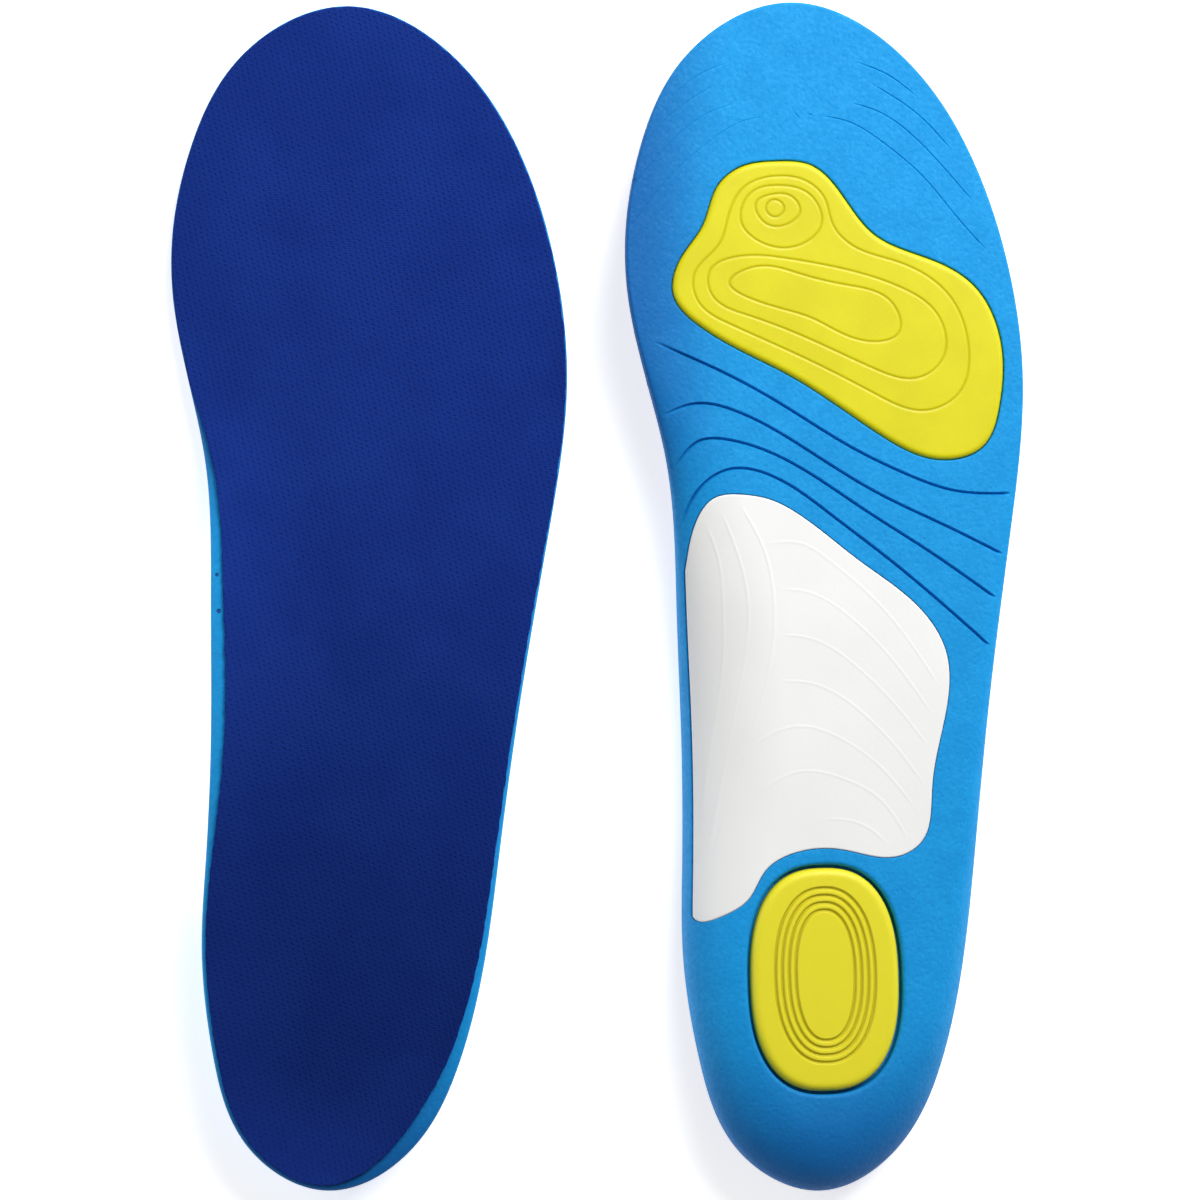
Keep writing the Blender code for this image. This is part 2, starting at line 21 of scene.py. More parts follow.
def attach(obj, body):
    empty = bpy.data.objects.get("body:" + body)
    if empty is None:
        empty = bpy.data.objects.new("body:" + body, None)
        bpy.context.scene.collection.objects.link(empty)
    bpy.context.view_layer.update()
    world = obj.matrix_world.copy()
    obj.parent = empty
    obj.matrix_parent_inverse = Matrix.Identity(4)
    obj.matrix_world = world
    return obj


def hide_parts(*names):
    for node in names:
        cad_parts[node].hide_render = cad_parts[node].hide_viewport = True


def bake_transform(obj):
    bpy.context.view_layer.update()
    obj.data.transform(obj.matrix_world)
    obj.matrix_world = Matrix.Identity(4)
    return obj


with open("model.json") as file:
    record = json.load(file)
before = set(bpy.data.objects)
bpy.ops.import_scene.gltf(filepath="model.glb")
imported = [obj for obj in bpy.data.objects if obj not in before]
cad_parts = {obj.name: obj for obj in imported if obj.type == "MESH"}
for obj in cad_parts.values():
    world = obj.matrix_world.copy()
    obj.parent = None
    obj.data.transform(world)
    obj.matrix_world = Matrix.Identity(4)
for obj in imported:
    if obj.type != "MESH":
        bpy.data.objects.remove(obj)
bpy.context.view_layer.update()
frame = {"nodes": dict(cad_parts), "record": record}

MM = 0.001  # metres in a millimetre

# ---------------------------------------------------------------- the insole's sizes, as in the CAD

COVER_THICKNESS = 0.9
FILM_THICKNESS = 0.2
LAYER_GAP = 0.1  # between bonded layers
FOAM_DEPTH = COVER_THICKNESS + FILM_THICKNESS + 2 * LAYER_GAP  # foam top, below the cover's top
SOLE = 0.4  # height of the foam's flat sole
BAND_DROP = 0.8  # how far the foam falls from the cover's edge to the outline
# The insole's form, once round from the inner side of the ball. Each row is a place on the outline
# with the height of the rim there, the height that the outer wall climbs from the sole, the width
# of that wall, how far in the bowl of the top surface ends, and the width of bare foam at the rim.
RIM = (
    # x, y, rim, wall, flare, bowl, band
    (-47.2, 215.0, 5.0, 0.0, 4.0, 12.0, 0.0),  # ball, inner side
    (-44.2, 199.0, 5.5, 0.5, 6.0, 14.0, 0.0),
    (-38.0, 173.0, 9.5, 4.5, 14.0, 24.0, 1.9),
    (-35.5, 141.0, 17.0, 12.0, 21.0, 31.0, 3.2),
    (-34.5, 108.0, 21.0, 16.0, 22.0, 32.0, 3.4),  # top of the arch
    (-35.3, 78.0, 20.0, 15.0, 18.0, 29.0, 1.5),
    (-36.0, 58.0, 18.0, 13.0, 15.0, 26.0, 1.1),
    (-33.0, 32.0, 16.0, 11.0, 13.5, 23.0, 1.1),
    (-25.0, 11.0, 15.0, 10.0, 16.0, 22.0, 1.1),
    (-5.0, 0.0, 14.5, 10.0, 18.0, 22.0, 1.6),  # back of the heel
    (15.5, 11.0, 14.5, 10.0, 16.0, 21.0, 4.0),
    (25.5, 30.0, 14.0, 9.5, 12.5, 20.0, 3.1),
    (31.5, 56.0, 12.5, 8.0, 10.0, 19.0, 1.6),
    (34.3, 80.0, 10.5, 5.5, 7.0, 18.0, 1.0),
    (39.0, 120.0, 8.0, 3.0, 6.0, 16.0, 0.6),
    (45.0, 160.0, 6.2, 1.0, 5.0, 14.0, 0.3),
    (48.5, 194.0, 5.3, 0.2, 4.0, 12.0, 0.0),  # ball, outer side
    (45.0, 224.0, 5.0, 0.0, 4.0, 12.0, 0.0),
    (36.0, 250.5, 4.6, 0.0, 4.0, 12.0, 0.0),
    (22.0, 271.0, 4.3, 0.0, 4.0, 12.0, 0.0),
    (-6.0, 285.0, 4.2, 0.0, 4.0, 12.0, 0.0),  # tip of the toe
    (-33.0, 271.0, 4.3, 0.0, 4.0, 12.0, 0.0),
    (-43.5, 250.0, 4.6, 0.0, 4.0, 12.0, 0.0),
    (-47.4, 230.0, 4.9, 0.0, 4.0, 12.0, 0.0),
)
# Heights of the top surface's floor along Y.
FLOOR = ((0.0, 6.5), (55.0, 6.6), (110.0, 7.6), (150.0, 6.8), (195.0, 5.2), (240.0, 4.8), (285.0, 4.2))
LEAST_BAND = 0.3  # the cover stops this far inside the foam's edge where no band shows
BOWL_POWER = 2.2
BOWL_REACH = 0.96  # the most of a ray that the bowl's slope takes up
HEEL_CENTRE = (-3.0, 32.0)  # ends of the spine, which every ray across the insole runs to
TOE_CENTRE = (0.0, 238.0)
TURN_LENGTH = 40.0  # outline length counted for one radian round the heel or the toe

FOREFOOT_PAD = (
    (-10.6, 246.7), (-2.5, 245.8), (5.5, 237.9), (12.6, 229.0), (26.9, 222.6), (37.1, 216.2),
    (43.1, 203.2), (42.4, 187.1), (38.2, 177.6), (27.4, 174.5), (13.1, 180.5), (-9.1, 195.3),
    (-30.2, 207.1), (-36.7, 215.0), (-34.6, 223.5), (-29.0, 231.5), (-25.4, 240.5), (-18.8, 245.6),
)  # fmt: skip
FOREFOOT_PAD_THICKNESS = 2.0
FOREFOOT_PAD_GAP = 0.15
HEEL_PAD_CENTRE = (-4.3, 51.0)
HEEL_PAD_HALF = (18.0, 26.5)
HEEL_PAD_POWER = 2.5
HEEL_PAD_THICKNESS = 2.8
HEEL_PAD_GAP = 0.8
GLUE_ROOM = 0.4  # from a pad's or the shell's inner face to the ceiling of its recess
ARCH_SHELL = (
    (-28.3, 166.0), (-21.4, 166.9), (-14.3, 165.5), (-6.3, 161.0), (6.8, 150.6), (22.0, 138.1),
    (27.5, 128.1), (26.8, 113.1), (23.1, 96.2), (19.9, 82.8), (14.2, 79.7), (1.1, 81.6),
    (-11.1, 81.2), (-18.3, 77.0), (-22.0, 71.0), (-28.9, 66.5), (-34.0, 65.7), (-35.5, 68.7),
    (-35.7, 90.7), (-35.4, 115.6), (-35.4, 140.5), (-34.2, 152.3), (-32.1, 161.1),
)  # fmt: skip
SHELL_THICKNESS = 1.3
SHELL_RIM_INSET = 1.2  # how far the shell stays inside the outline along the arch
SHELL_GAP = 0.12
FLEX_INNER = (-43.2, 189.7)  # ends of the straight line across which the foam bends
FLEX_OUTER = (43.9, 152.1)

# ---------------------------------------------------------------- what only shows up close

# Roundings.
FOAM_EDGE = 0.5
COVER_EDGE = 0.45
FILM_EDGE = 0.05
FOREFOOT_LIP = 0.4
HEEL_LIP = 0.9
SHELL_LIP = 0.2
FOREFOOT_PAD_EDGE = 1.2
HEEL_PAD_EDGE = 1.8
SHELL_EDGE = 0.35
BEND_BEFORE = 10.5  # the flex span runs from this far behind the flex line
BEND_AFTER = 13.0  # to this far ahead of it
# Widths and depths of the moulded lines; a ridge's depth is below zero.
FLEX_GROOVE = (0.9, 1.1)
TRIM_LINE = (0.5, 0.22)
FAINT_TRIM_LINE = (0.5, 0.08)
CONTOUR = (1.0, 0.17)
HEEL_RING = (1.15, 0.5)
LONG_RIDGE = (1.1, -0.07)
FAN_RIDGE = (1.0, -0.035)
# Lengths over which the lines run out at their first and last points.
GROOVE_FADES = (9.0, 1.5)
TRIM_FADES = (3.0, 3.0)
RIDGE_FADES = (4.0, 4.0)
FRAY = 0.13  # how far the cover's cut edge strays
FRAY_SEED = 7
VENT_MARKS = (
    # x, y, radius, on the bare band beside the arch
    (-34.2, 146.9, 0.55),
    (-33.4, 138.2, 0.7),
)

# Flex grooves across the sole, from the inner side, front to back.
FLEX_GROOVES = (
    (
        (-41.7, 203.6), (-24.2, 195.7), (-12.1, 188.9), (6.1, 177.5), (19.2, 171.0), (30.5, 167.0),
        (44.4, 166.1),
    ),
    (
        (-40.1, 185.8), (-32.3, 188.7), (-22.2, 186.8), (-6.1, 177.9), (12.1, 166.5), (27.3, 159.0),
        (42.0, 151.5),
    ),
    (
        (-37.7, 172.1), (-31.3, 179.8), (-23.3, 179.8), (-12.2, 175.9), (8.0, 163.0), (23.2, 153.0),
        (40.0, 141.0),
    ),
    (
        (-35.6, 158.3), (-32.2, 167.5), (-24.4, 172.9), (-13.3, 170.9), (-0.2, 162.0), (15.0, 150.0),
        (38.2, 129.5),
    ),
)  # fmt: skip
# Trim lines round the toe, one shoe size apart.
TRIM_LINES = (
    ((0.7, 257.4), (5.8, 256.5), (16.0, 250.6), (25.1, 242.7), (33.2, 232.8), (40.3, 224.8)),
    ((7.9, 260.6), (14.0, 258.7), (23.2, 252.3), (30.3, 244.8), (37.4, 236.4)),
    ((13.0, 265.2), (18.1, 262.2), (24.2, 257.8), (32.4, 248.9)),
    ((9.0, 270.6), (17.2, 267.3), (24.3, 261.8)),
)
TRIM_AXIS = -6.0  # x that the fainter trim lines of the inner side are mirrored through
TRIM_TICKS = (((-6.1, 258.6), (-4.8, 256.8)), ((-3.0, 258.1), (-1.3, 257.5)))
# Contour lines of the forefoot pad: round the whole pad, two under the ball, three under the toe.
FOREFOOT_CONTOURS = (
    (
        (-10.2, 243.0), (-18.8, 240.4), (-22.9, 233.6), (-25.5, 226.5), (-31.6, 219.5), (-30.7, 212.9),
        (-23.6, 207.7), (-5.5, 199.3), (11.7, 190.4), (23.9, 186.3), (32.5, 190.6), (35.0, 200.6),
        (30.4, 214.1), (17.6, 222.3), (7.5, 225.9), (2.4, 231.4), (0.6, 237.6), (-4.6, 242.1),
    ),
    (
        (-21.5, 223.6), (-27.9, 220.1), (-27.6, 214.9), (-19.1, 209.7), (-1.9, 202.8), (11.8, 196.4),
        (22.5, 194.2), (28.7, 199.1), (27.7, 209.1), (18.6, 216.0), (2.3, 221.1), (-9.8, 223.3),
    ),
    (
        (-18.5, 220.8), (-23.1, 217.6), (-17.0, 213.2), (-2.9, 208.6), (11.3, 203.0), (18.0, 205.2),
        (17.0, 211.5), (5.8, 216.6), (-5.8, 219.4),
    ),
    (
        (-10.2, 240.7), (-17.1, 239.1), (-19.9, 232.1), (-15.4, 227.2), (-5.3, 226.5), (-0.3, 231.3),
        (-3.1, 238.6),
    ),
    ((-11.2, 238.7), (-16.2, 236.4), (-14.3, 231.9), (-8.8, 231.3), (-5.4, 234.8), (-7.7, 238.2)),
    ((-11.5, 237.3), (-13.8, 235.3), (-11.6, 233.1), (-9.3, 235.3)),
)  # fmt: skip
HEEL_RINGS = 4
HEEL_RING_CENTRE = (-4.4, 52.0)
HEEL_RING_HALF = (12.1, 20.7)
HEEL_RING_STEP = (1.65, 1.75)
HEEL_RING_POWER = 2.3
# Fine ridges on the arch shell: three along the arch and seven that fan out to the outer side.
LONG_RIDGES = (
    (
        (-21.9, 164.5), (-16.5, 154.0), (-14.5, 144.1), (-14.6, 133.2), (-17.2, 120.3), (-21.6, 106.5),
        (-29.4, 82.8),
    ),
    ((-26.4, 163.0), (-22.5, 152.1), (-20.5, 141.2), (-21.5, 128.3), (-24.4, 113.5), (-30.7, 82.8)),
    ((-30.2, 160.6), (-27.3, 152.1), (-26.3, 141.2), (-26.4, 128.4), (-29.0, 110.5), (-31.8, 90.7)),
)  # fmt: skip
FAN_RIDGES = (
    ((-16.0, 155.0), (-7.4, 155.0), (-0.3, 150.6), (10.8, 140.6), (19.8, 129.1), (25.4, 120.1)),
    ((-13.5, 144.1), (-6.4, 143.4), (3.6, 137.6), (14.7, 126.1), (23.8, 113.1)),
    ((-13.6, 133.2), (-6.5, 132.5), (5.5, 125.2), (15.6, 114.7), (22.7, 105.2)),
    ((-14.2, 122.3), (-5.6, 121.5), (6.5, 114.2), (16.5, 103.2), (21.0, 96.7)),
    ((-21.7, 105.5), (-15.8, 109.7), (-8.8, 111.4), (0.3, 108.6), (10.4, 101.3), (18.9, 90.8)),
    ((-18.9, 96.1), (-9.9, 100.5), (1.2, 98.7), (10.3, 93.4), (16.8, 83.4)),
    ((-3.9, 89.0), (2.2, 88.7), (7.2, 86.7), (12.2, 82.2)),
)

# How finely the meshes are drawn: counts, then millimetres.
SIDE_RAYS = 151
END_RAYS = 91
RIM_COUNT = 1440
HEEL_PAD_COUNT = 180
HEEL_RING_COUNT = 120
LINE_STEP = 0.8
GRID_STEP = 2.4
SHELL_GRID_STEP = 1.8
ARCH_WALL_ROWS = (1.7, 2.3, 3.1, 4.2, 5.6, 7.4)  # insets of extra rows where the arch wall is steep
ARCH_ROW_CLEARANCE = 0.5
WELD = 0.004  # points closer than this are one
SHORTEST_EDGE = 0.001
RELIEF_MARGIN = 0.8  # reliefs stop this far inside the outline of their piece

# ---------------------------------------------------------------- pieces, materials and the picture

PIECES = {
    # piece: where it belongs, material slot
    "top_cover": ("both", "cover_knit"),
    "cover_film": ("both", "cover_film"),
    "foam_base": ("both", "foam"),
    "forefoot_gel_pad": ("forefoot", "gel"),
    "heel_gel_pad": ("rearfoot", "gel"),
    "arch_shell": ("rearfoot", "arch_shell"),
}
GLUES = ("forefoot_pad_glue", "heel_pad_glue", "arch_shell_glue")
FOREFOOT_FACE = (10.0, 200.0)  # where the forefoot pad's mount sits, in the insole's own frame

# Where painted shade and painted light change over the insole: from a place without the change to one with
# all of it.
SHADED_COVER_Y = (190.0, 20.0)  # painted shade on the cover, towards the heel cup
SHADED_HEEL_Y = (48.0, 2.0)  # painted shade on the foam, towards its heel end
SHADED_INNER_X = (-20.0, -46.0)  # with the next one, painted shade towards the inner side of the forefoot
SHADED_FOREFOOT_Y = (150.0, 185.0)
PAINTED_LIGHT_GEL_Y = (130.0, 90.0)  # painted light on the gel, between the forefoot pad and the heel pad

WORLD_LIGHT = 0.1
HORIZON = (0.1, 0.22)  # sines of the heights between which the bright horizon fades
FLOOR_GLOW = 0.62
FLOOR_RADIUS = 0.48
LIGHTS = (
    # name, place, size, watts
    ("key", (0.42, 0.6, 0.6), 0.6, 11.5),
    ("fill", (-0.8, 0.1, 0.5), 0.8, 3.2),
)
VIEW_WIDTH = 0.2884  # metres across the frame, at the height of the rims
VIEW_HEIGHT = 0.008
CAMERA_DISTANCE = 1.0
CAMERA_OFFSET = (0.00072, -0.00064)


# ---------------------------------------------------------------- curves


def spline(knots, values, at):
    """A smooth cubic, with free ends, through rows of values at rising knots."""
    knots, values = np.asarray(knots, float), np.asarray(values, float)
    step = np.diff(knots)
    rise = np.diff(values, axis=0) / step[:, None]
    matrix = np.zeros((len(knots), len(knots)))
    matrix[0, :2] = 2, 1
    matrix[-1, -2:] = 1, 2
    target = np.zeros_like(values)
    target[0], target[-1] = 3 * rise[0], 3 * rise[-1]
    for i in range(1, len(knots) - 1):
        before, after = 1 / step[i - 1], 1 / step[i]
        matrix[i, i - 1 : i + 2] = before, 2 * (before + after), after
        target[i] = 3 * (rise[i - 1] * before + rise[i] * after)
    slope = np.linalg.solve(matrix, target)
    i = np.clip(np.searchsorted(knots, at, side="right") - 1, 0, len(step) - 1)
    h = step[i][:, None]
    t = (np.asarray(at)[:, None] - knots[i][:, None]) / h
    return (
        values[i] * (1 + 2 * t) * (1 - t) ** 2
        + values[i + 1] * t * t * (3 - 2 * t)
        + slope[i] * h * t * (1 - t) ** 2
        - slope[i + 1] * h * t * t * (1 - t)
    )


def open_curve(points):
    """Evenly spaced points along a smooth curve through the points."""
    points = np.asarray(points, float)
    run = np.append(0, np.cumsum(np.linalg.norm(np.diff(points, axis=0), axis=1)))
    return spline(run, points, np.linspace(0, run[-1], max(3, round(run[-1] / LINE_STEP) + 1)))


def closed_curve(rows, count=None):
    """Rows round a smooth closed curve through the rows, whose first two columns are x, y."""
    rows = np.asarray(rows, float)
    ends = np.roll(rows, -1, axis=0)
    run = np.cumsum(np.linalg.norm((ends - rows)[:, :2], axis=1))
    total = run[-1]
    count = count or round(total / LINE_STEP)
    knots = np.append(0, run[:-1])
    knots = np.concatenate([knots - total, knots, knots + total])
    return spline(knots, np.tile(rows, (3, 1)), np.arange(count) * total / count)


def superellipse(centre, half, power, count):
    """Points round an ellipse that a power above 2 makes squarer."""
    angle = np.arange(count) * 2 * math.pi / count
    x = np.sign(np.cos(angle)) * np.abs(np.cos(angle)) ** (2 / power) * half[0]
    y = np.sign(np.sin(angle)) * np.abs(np.sin(angle)) ** (2 / power) * half[1]
    return np.column_stack([x, y]) + centre


def beside(path, distance, closed):
    """A path moved sideways: outwards where it is closed, to its right where it is open."""
    if closed:
        along = np.roll(path, -1, axis=0) - np.roll(path, 1, axis=0)
    else:
        along = np.gradient(path, axis=0)
    normal = np.stack([along[:, 1], -along[:, 0]], axis=1)
    normal /= np.linalg.norm(normal, axis=1)[:, None]
    x, y = path.T
    turn = np.sign(np.sum(x * np.roll(y, -1) - np.roll(x, -1) * y)) if closed else 1
    return path + normal * distance * turn


def distance_to(points, path, closed=True):
    """Each point's distance to a path, and the length along the path of the nearest place."""
    ends = np.roll(path, -1, axis=0) if closed else path[1:]
    starts = path if closed else path[:-1]
    along = ends - starts
    length = np.hypot(*along.T)
    from_start = points[:, None] - starts
    share = np.clip((from_start * along).sum(axis=2) / length**2, 0, 1)
    off = from_start - share[..., None] * along
    distance = np.hypot(off[..., 0], off[..., 1])
    nearest = distance.argmin(axis=1)
    row = np.arange(len(points))
    run = np.append(0, np.cumsum(length))[nearest] + share[row, nearest] * length[nearest]
    return distance[row, nearest], run


def near(points, path, reach):
    """Which points lie in the path's box, made larger by reach."""
    low, high = path.min(axis=0) - reach, path.max(axis=0) + reach
    return np.flatnonzero(((points > low) & (points < high)).all(axis=1))


def inside(points, loop):
    """Which points lie inside a loop, by counting the crossings of a line to the right."""
    ahead = np.roll(loop, -1, axis=0)
    x, y = points.T[:, :, None]
    crosses = (loop[:, 1] > y) != (ahead[:, 1] > y)
    with np.errstate(divide="ignore", invalid="ignore"):
        at = loop[:, 0] + (y - loop[:, 1]) * (ahead - loop)[:, 0] / (ahead - loop)[:, 1]
    return (crosses & (x < at)).sum(axis=1) % 2 == 1


def snapped(distance):
    """Distances without the rounding errors of points on the edge, where rounded edges are steep."""
    return np.where(distance < 0.001, 0, distance)


def round_over(distance, radius):
    """How far a rounded edge falls away at a distance inside it."""
    return radius - np.sqrt(radius**2 - np.clip(radius - snapped(distance), 0, radius) ** 2)


# ---------------------------------------------------------------- the insole's form

SPINE_LENGTH = TOE_CENTRE[1] - HEEL_CENTRE[1]
HALF_TURN = math.pi * TURN_LENGTH
NUMBERS = np.cumsum([0, SPINE_LENGTH, HALF_TURN, SPINE_LENGTH, HALF_TURN])
ROUND = NUMBERS[-1]
SPINE_Y = (TOE_CENTRE[1], HEEL_CENTRE[1], HEEL_CENTRE[1], TOE_CENTRE[1], TOE_CENTRE[1])


def spine_x_at(y):
    """The spine's x at a y between its ends."""
    share = (y - HEEL_CENTRE[1]) / SPINE_LENGTH
    return HEEL_CENTRE[0] + share * (TOE_CENTRE[0] - HEEL_CENTRE[0])


def ray_number(x, y):
    """Which ray a point lies on, counted down the inner side, round the heel, up and round the toe."""
    spine_y = np.clip(y, HEEL_CENTRE[1], TOE_CENTRE[1])
    spine_x = spine_x_at(spine_y)
    heel_turn = np.arctan2(x - spine_x, spine_y - y) + math.pi / 2
    toe_turn = math.pi / 2 - np.arctan2(x - spine_x, y - spine_y)
    _, heel, outer, toe, _ = NUMBERS
    return np.select(
        [y < HEEL_CENTRE[1], y > TOE_CENTRE[1], x < spine_x],
        [heel + TURN_LENGTH * heel_turn, toe + TURN_LENGTH * toe_turn, TOE_CENTRE[1] - y],
        outer + y - HEEL_CENTRE[1],
    )


FINE_RIM = closed_curve(RIM, RIM_COUNT)
FINE_NUMBERS = ray_number(FINE_RIM[:, 0], FINE_RIM[:, 1])
FLOOR_Y, FLOOR_Z = np.array(FLOOR).T


class Rays:
    """The rays with the given numbers: the outline's point, the rim's sizes and the spine's point."""

    def __init__(self, numbers):
        columns = [np.interp(numbers, FINE_NUMBERS, column, period=ROUND) for column in FINE_RIM.T]
        self.x, self.y, self.rim, wall, self.flare, self.bowl, band = columns
        self.wall = np.maximum(wall, 0)
        self.band = np.maximum(band, LEAST_BAND)
        self.spine_y = np.interp(np.mod(numbers, ROUND), NUMBERS, SPINE_Y)
        self.spine_x = spine_x_at(self.spine_y)
        self.length = np.hypot(self.spine_x - self.x, self.spine_y - self.y)
        self.bowl = np.minimum(self.bowl, BOWL_REACH * self.length)

    def place(self, inset):
        """Plan points that lie inset along each ray from the outline."""
        share = inset / self.length
        x = self.x + (self.spine_x - self.x) * share
        return np.column_stack([x, self.y + (self.spine_y - self.y) * share])

    def sole_height(self, inset):
        """The sole: flat, and curving up the outer wall within the flare."""
        rise = 1 - np.clip(inset / self.flare, 0, 1)
        return SOLE + self.wall * (1 - np.sqrt(1 - rise**2))

    def cover_height(self, inset):
        """The cover's top: near level under the foot, and rising up the bowl to the rim."""
        floor = spline(FLOOR_Y, FLOOR_Z[:, None], self.place(inset)[:, 1])[:, 0]
        rise = 1 - np.clip((inset - self.band) / (self.bowl - self.band), 0, 1)
        return floor + (self.rim - floor) * rise**BOWL_POWER

    def foam_height(self, inset):
        """The foam's top: under the cover, and falling across the bare band to the outline."""
        fall = np.clip(1 - inset / self.band, 0, 1) ** 2 * np.minimum(BAND_DROP, self.band / 2)
        return self.cover_height(np.maximum(inset, self.band)) - FOAM_DEPTH - fall

    def ring(self, inset, height):
        """A closed row of points, inset along every ray, at their heights."""
        return np.column_stack([self.place(inset), height])


def under(points):
    """The rays through plan points, and how far inside the outline each point lies."""
    rays = Rays(ray_number(*points.T))
    return rays, snapped(np.hypot(points[:, 0] - rays.x, points[:, 1] - rays.y))


def sole_height(points):
    """The plain sole's height over plan points."""
    rays, inset = under(points)
    return rays.sole_height(inset)


def sole_surface(points):
    """The plain sole's points over plan points, and its upward normals."""
    step = 0.05
    east, north = np.array([step, 0]), np.array([0, step])
    slope_x = (sole_height(points + east) - sole_height(points - east)) / (2 * step)
    slope_y = (sole_height(points + north) - sole_height(points - north)) / (2 * step)
    normal = np.stack([-slope_x, -slope_y, np.ones(len(points))], axis=1)
    normal /= np.linalg.norm(normal, axis=1)[:, None]
    return np.column_stack([points, sole_height(points)]), normal


def all_rays():
    """Rays in pairs along the sides, which share the spine's points, and fans round both ends."""
    side = np.linspace(0, SPINE_LENGTH, SIDE_RAYS)
    turn = np.linspace(0, HALF_TURN, END_RAYS + 2)[1:-1]
    _, heel, outer, toe, _ = NUMBERS
    return Rays(np.concatenate([side, heel + turn, outer + side, toe + turn]))


RAYS = all_rays()


# ---------------------------------------------------------------- reliefs and plans

QUARTER = 1 - np.cos(np.radians([20, 45, 70, 90]))  # shares of a rounding's radius
QUARTER_AND_FLAT = (*QUARTER, 1.4)
ACROSS = (-1.4, -1, -0.6, -0.3, 0, 0.3, 0.6, 1, 1.4)  # shares of a relief's half width


class Relief:
    """A rounded groove along a path, or a ridge where its depth is below zero."""

    def __init__(self, path, width, depth, closed=False, fades=(0.0, 0.0)):
        self.path, self.half, self.depth = path, width / 2, depth
        self.closed, self.fades = closed, fades

    def rows(self):
        """The lines that a mesh needs to follow the relief's cross-section."""
        return [beside(self.path, share * self.half, self.closed) for share in ACROSS]

    def depth_at(self, points):
        """The relief's depth at plan points, zero outside it."""
        depth = np.zeros(len(points))
        close = near(points, self.path, self.half)
        if not len(close):
            return depth
        distance, run = distance_to(points[close], self.path, self.closed)
        share = np.clip(distance / self.half, 0, 1)
        fade = 1.0
        if not self.closed:
            total = np.hypot(*np.diff(self.path, axis=0).T).sum()
            ends = run / max(self.fades[0], 0.01), (total - run) / max(self.fades[1], 0.01)
            fade = np.clip(ends[0], 0, 1) * np.clip(ends[1], 0, 1)
        depth[close] = self.depth * fade * (1 + np.cos(math.pi * share)) / 2
        return depth


class Plan:
    """Points and lines over a flat outline, which are triangulated together."""

    def __init__(self, outline):
        self.outline, self.holes, self.points, self.edges, self.loose = outline, [], [], [], []
        self.line(outline, True)

    def line(self, path, closed):
        """Adds a path whose edges the triangles keep."""
        first = len(self.points)
        self.points += [tuple(point) for point in path]
        self.edges += [(i, i + 1) for i in range(first, len(self.points) - 1)]
        if closed:
            self.edges.append((len(self.points) - 1, first))

    def hole(self, loop):
        """Adds a loop that stays open inside."""
        self.line(loop, True)
        self.holes.append(loop)

    def relief(self, relief):
        """Adds a relief's rows, so far as they stay clear of the outline."""
        within = beside(self.outline, -RELIEF_MARGIN, True)
        for row in relief.rows():
            kept = inside(row, within)
            for run in np.split(np.arange(len(row)), np.flatnonzero(np.diff(kept)) + 1):
                if kept[run[0]]:
                    self.line(row[run], relief.closed and len(run) == len(row))

    def scatter(self, points, clearance):
        """Adds the loose points that lie well clear of the lines drawn so far."""
        tree = KDTree(len(self.points))
        for i, (x, y) in enumerate(self.points):
            tree.insert((x, y, 0), i)
        tree.balance()
        points = points[inside(points, self.outline)]
        self.loose += [(x, y) for x, y in points if tree.find((x, y, 0))[2] > clearance]

    def grid(self, step=GRID_STEP):
        """Adds a grid of staggered rows."""
        low, high = self.outline.min(axis=0), self.outline.max(axis=0)
        rows = np.arange(low[1], high[1], step * math.sqrt(0.75))
        columns = np.arange(low[0], high[0], step)
        points = [(x + step / 2 * (i % 2), y) for i, y in enumerate(rows) for x in columns]
        self.scatter(np.array(points), 0.5 * step)

    def triangles(self):
        """The plan's points, and its triangles within the outline and outside the holes."""
        corners = [Vector(point) for point in self.points + self.loose]
        vertices, _, faces, *_ = delaunay_2d_cdt(corners, self.edges, [], 0, 1e-5)
        plan = np.array([tuple(vertex) for vertex in vertices])
        faces = np.array([tuple(face) for face in faces])
        middle = plan[faces].mean(axis=1)
        kept = inside(middle, self.outline)
        for hole in self.holes:
            kept &= ~inside(middle, hole)
        return plan, faces[kept]


# ---------------------------------------------------------------- meshes, in millimetres


def lofted(rings):
    """A patch of quads through closed rings of equal count."""
    count = len(rings[0])
    i = np.arange(count)
    ahead = (i + 1) % count
    strip = np.column_stack([i, ahead, ahead + count, i + count])
    return np.concatenate(rings), np.concatenate([strip + count * n for n in range(len(rings) - 1)])


def raised(plan, height):
    """Plan points at a height, or each at its own."""
    return np.column_stack([plan, np.broadcast_to(height, len(plan))])


def welded(name, patches, sharp=35):
    """A smooth-shaded mesh from patches of points and faces, with faces out and its own form kept."""
    points, faces, first = [], [], 0
    for patch_points, patch_faces in patches:
        points.append(patch_points)
        faces += (patch_faces + first).tolist()
        first += len(patch_points)
    mesh = bpy.data.meshes.new(name)
    mesh.from_pydata(np.concatenate(points).tolist(), [], faces)
    bm = bmesh.new()
    bm.from_mesh(mesh)
    bmesh.ops.remove_doubles(bm, verts=bm.verts, dist=WELD)
    bmesh.ops.dissolve_degenerate(bm, edges=bm.edges, dist=SHORTEST_EDGE)
    bmesh.ops.delete(bm, geom=[vertex for vertex in bm.verts if not vertex.link_faces], context="VERTS")
    bmesh.ops.recalc_face_normals(bm, faces=bm.faces)
    bm.to_mesh(mesh)
    bm.free()
    form = mesh.attributes.new("form", "FLOAT_VECTOR", "POINT")
    form.data.foreach_set("vector", np.array([vertex.co for vertex in mesh.vertices]).ravel())
    mesh.shade_smooth()
    mesh.set_sharp_from_angle(angle=math.radians(sharp))
    return mesh


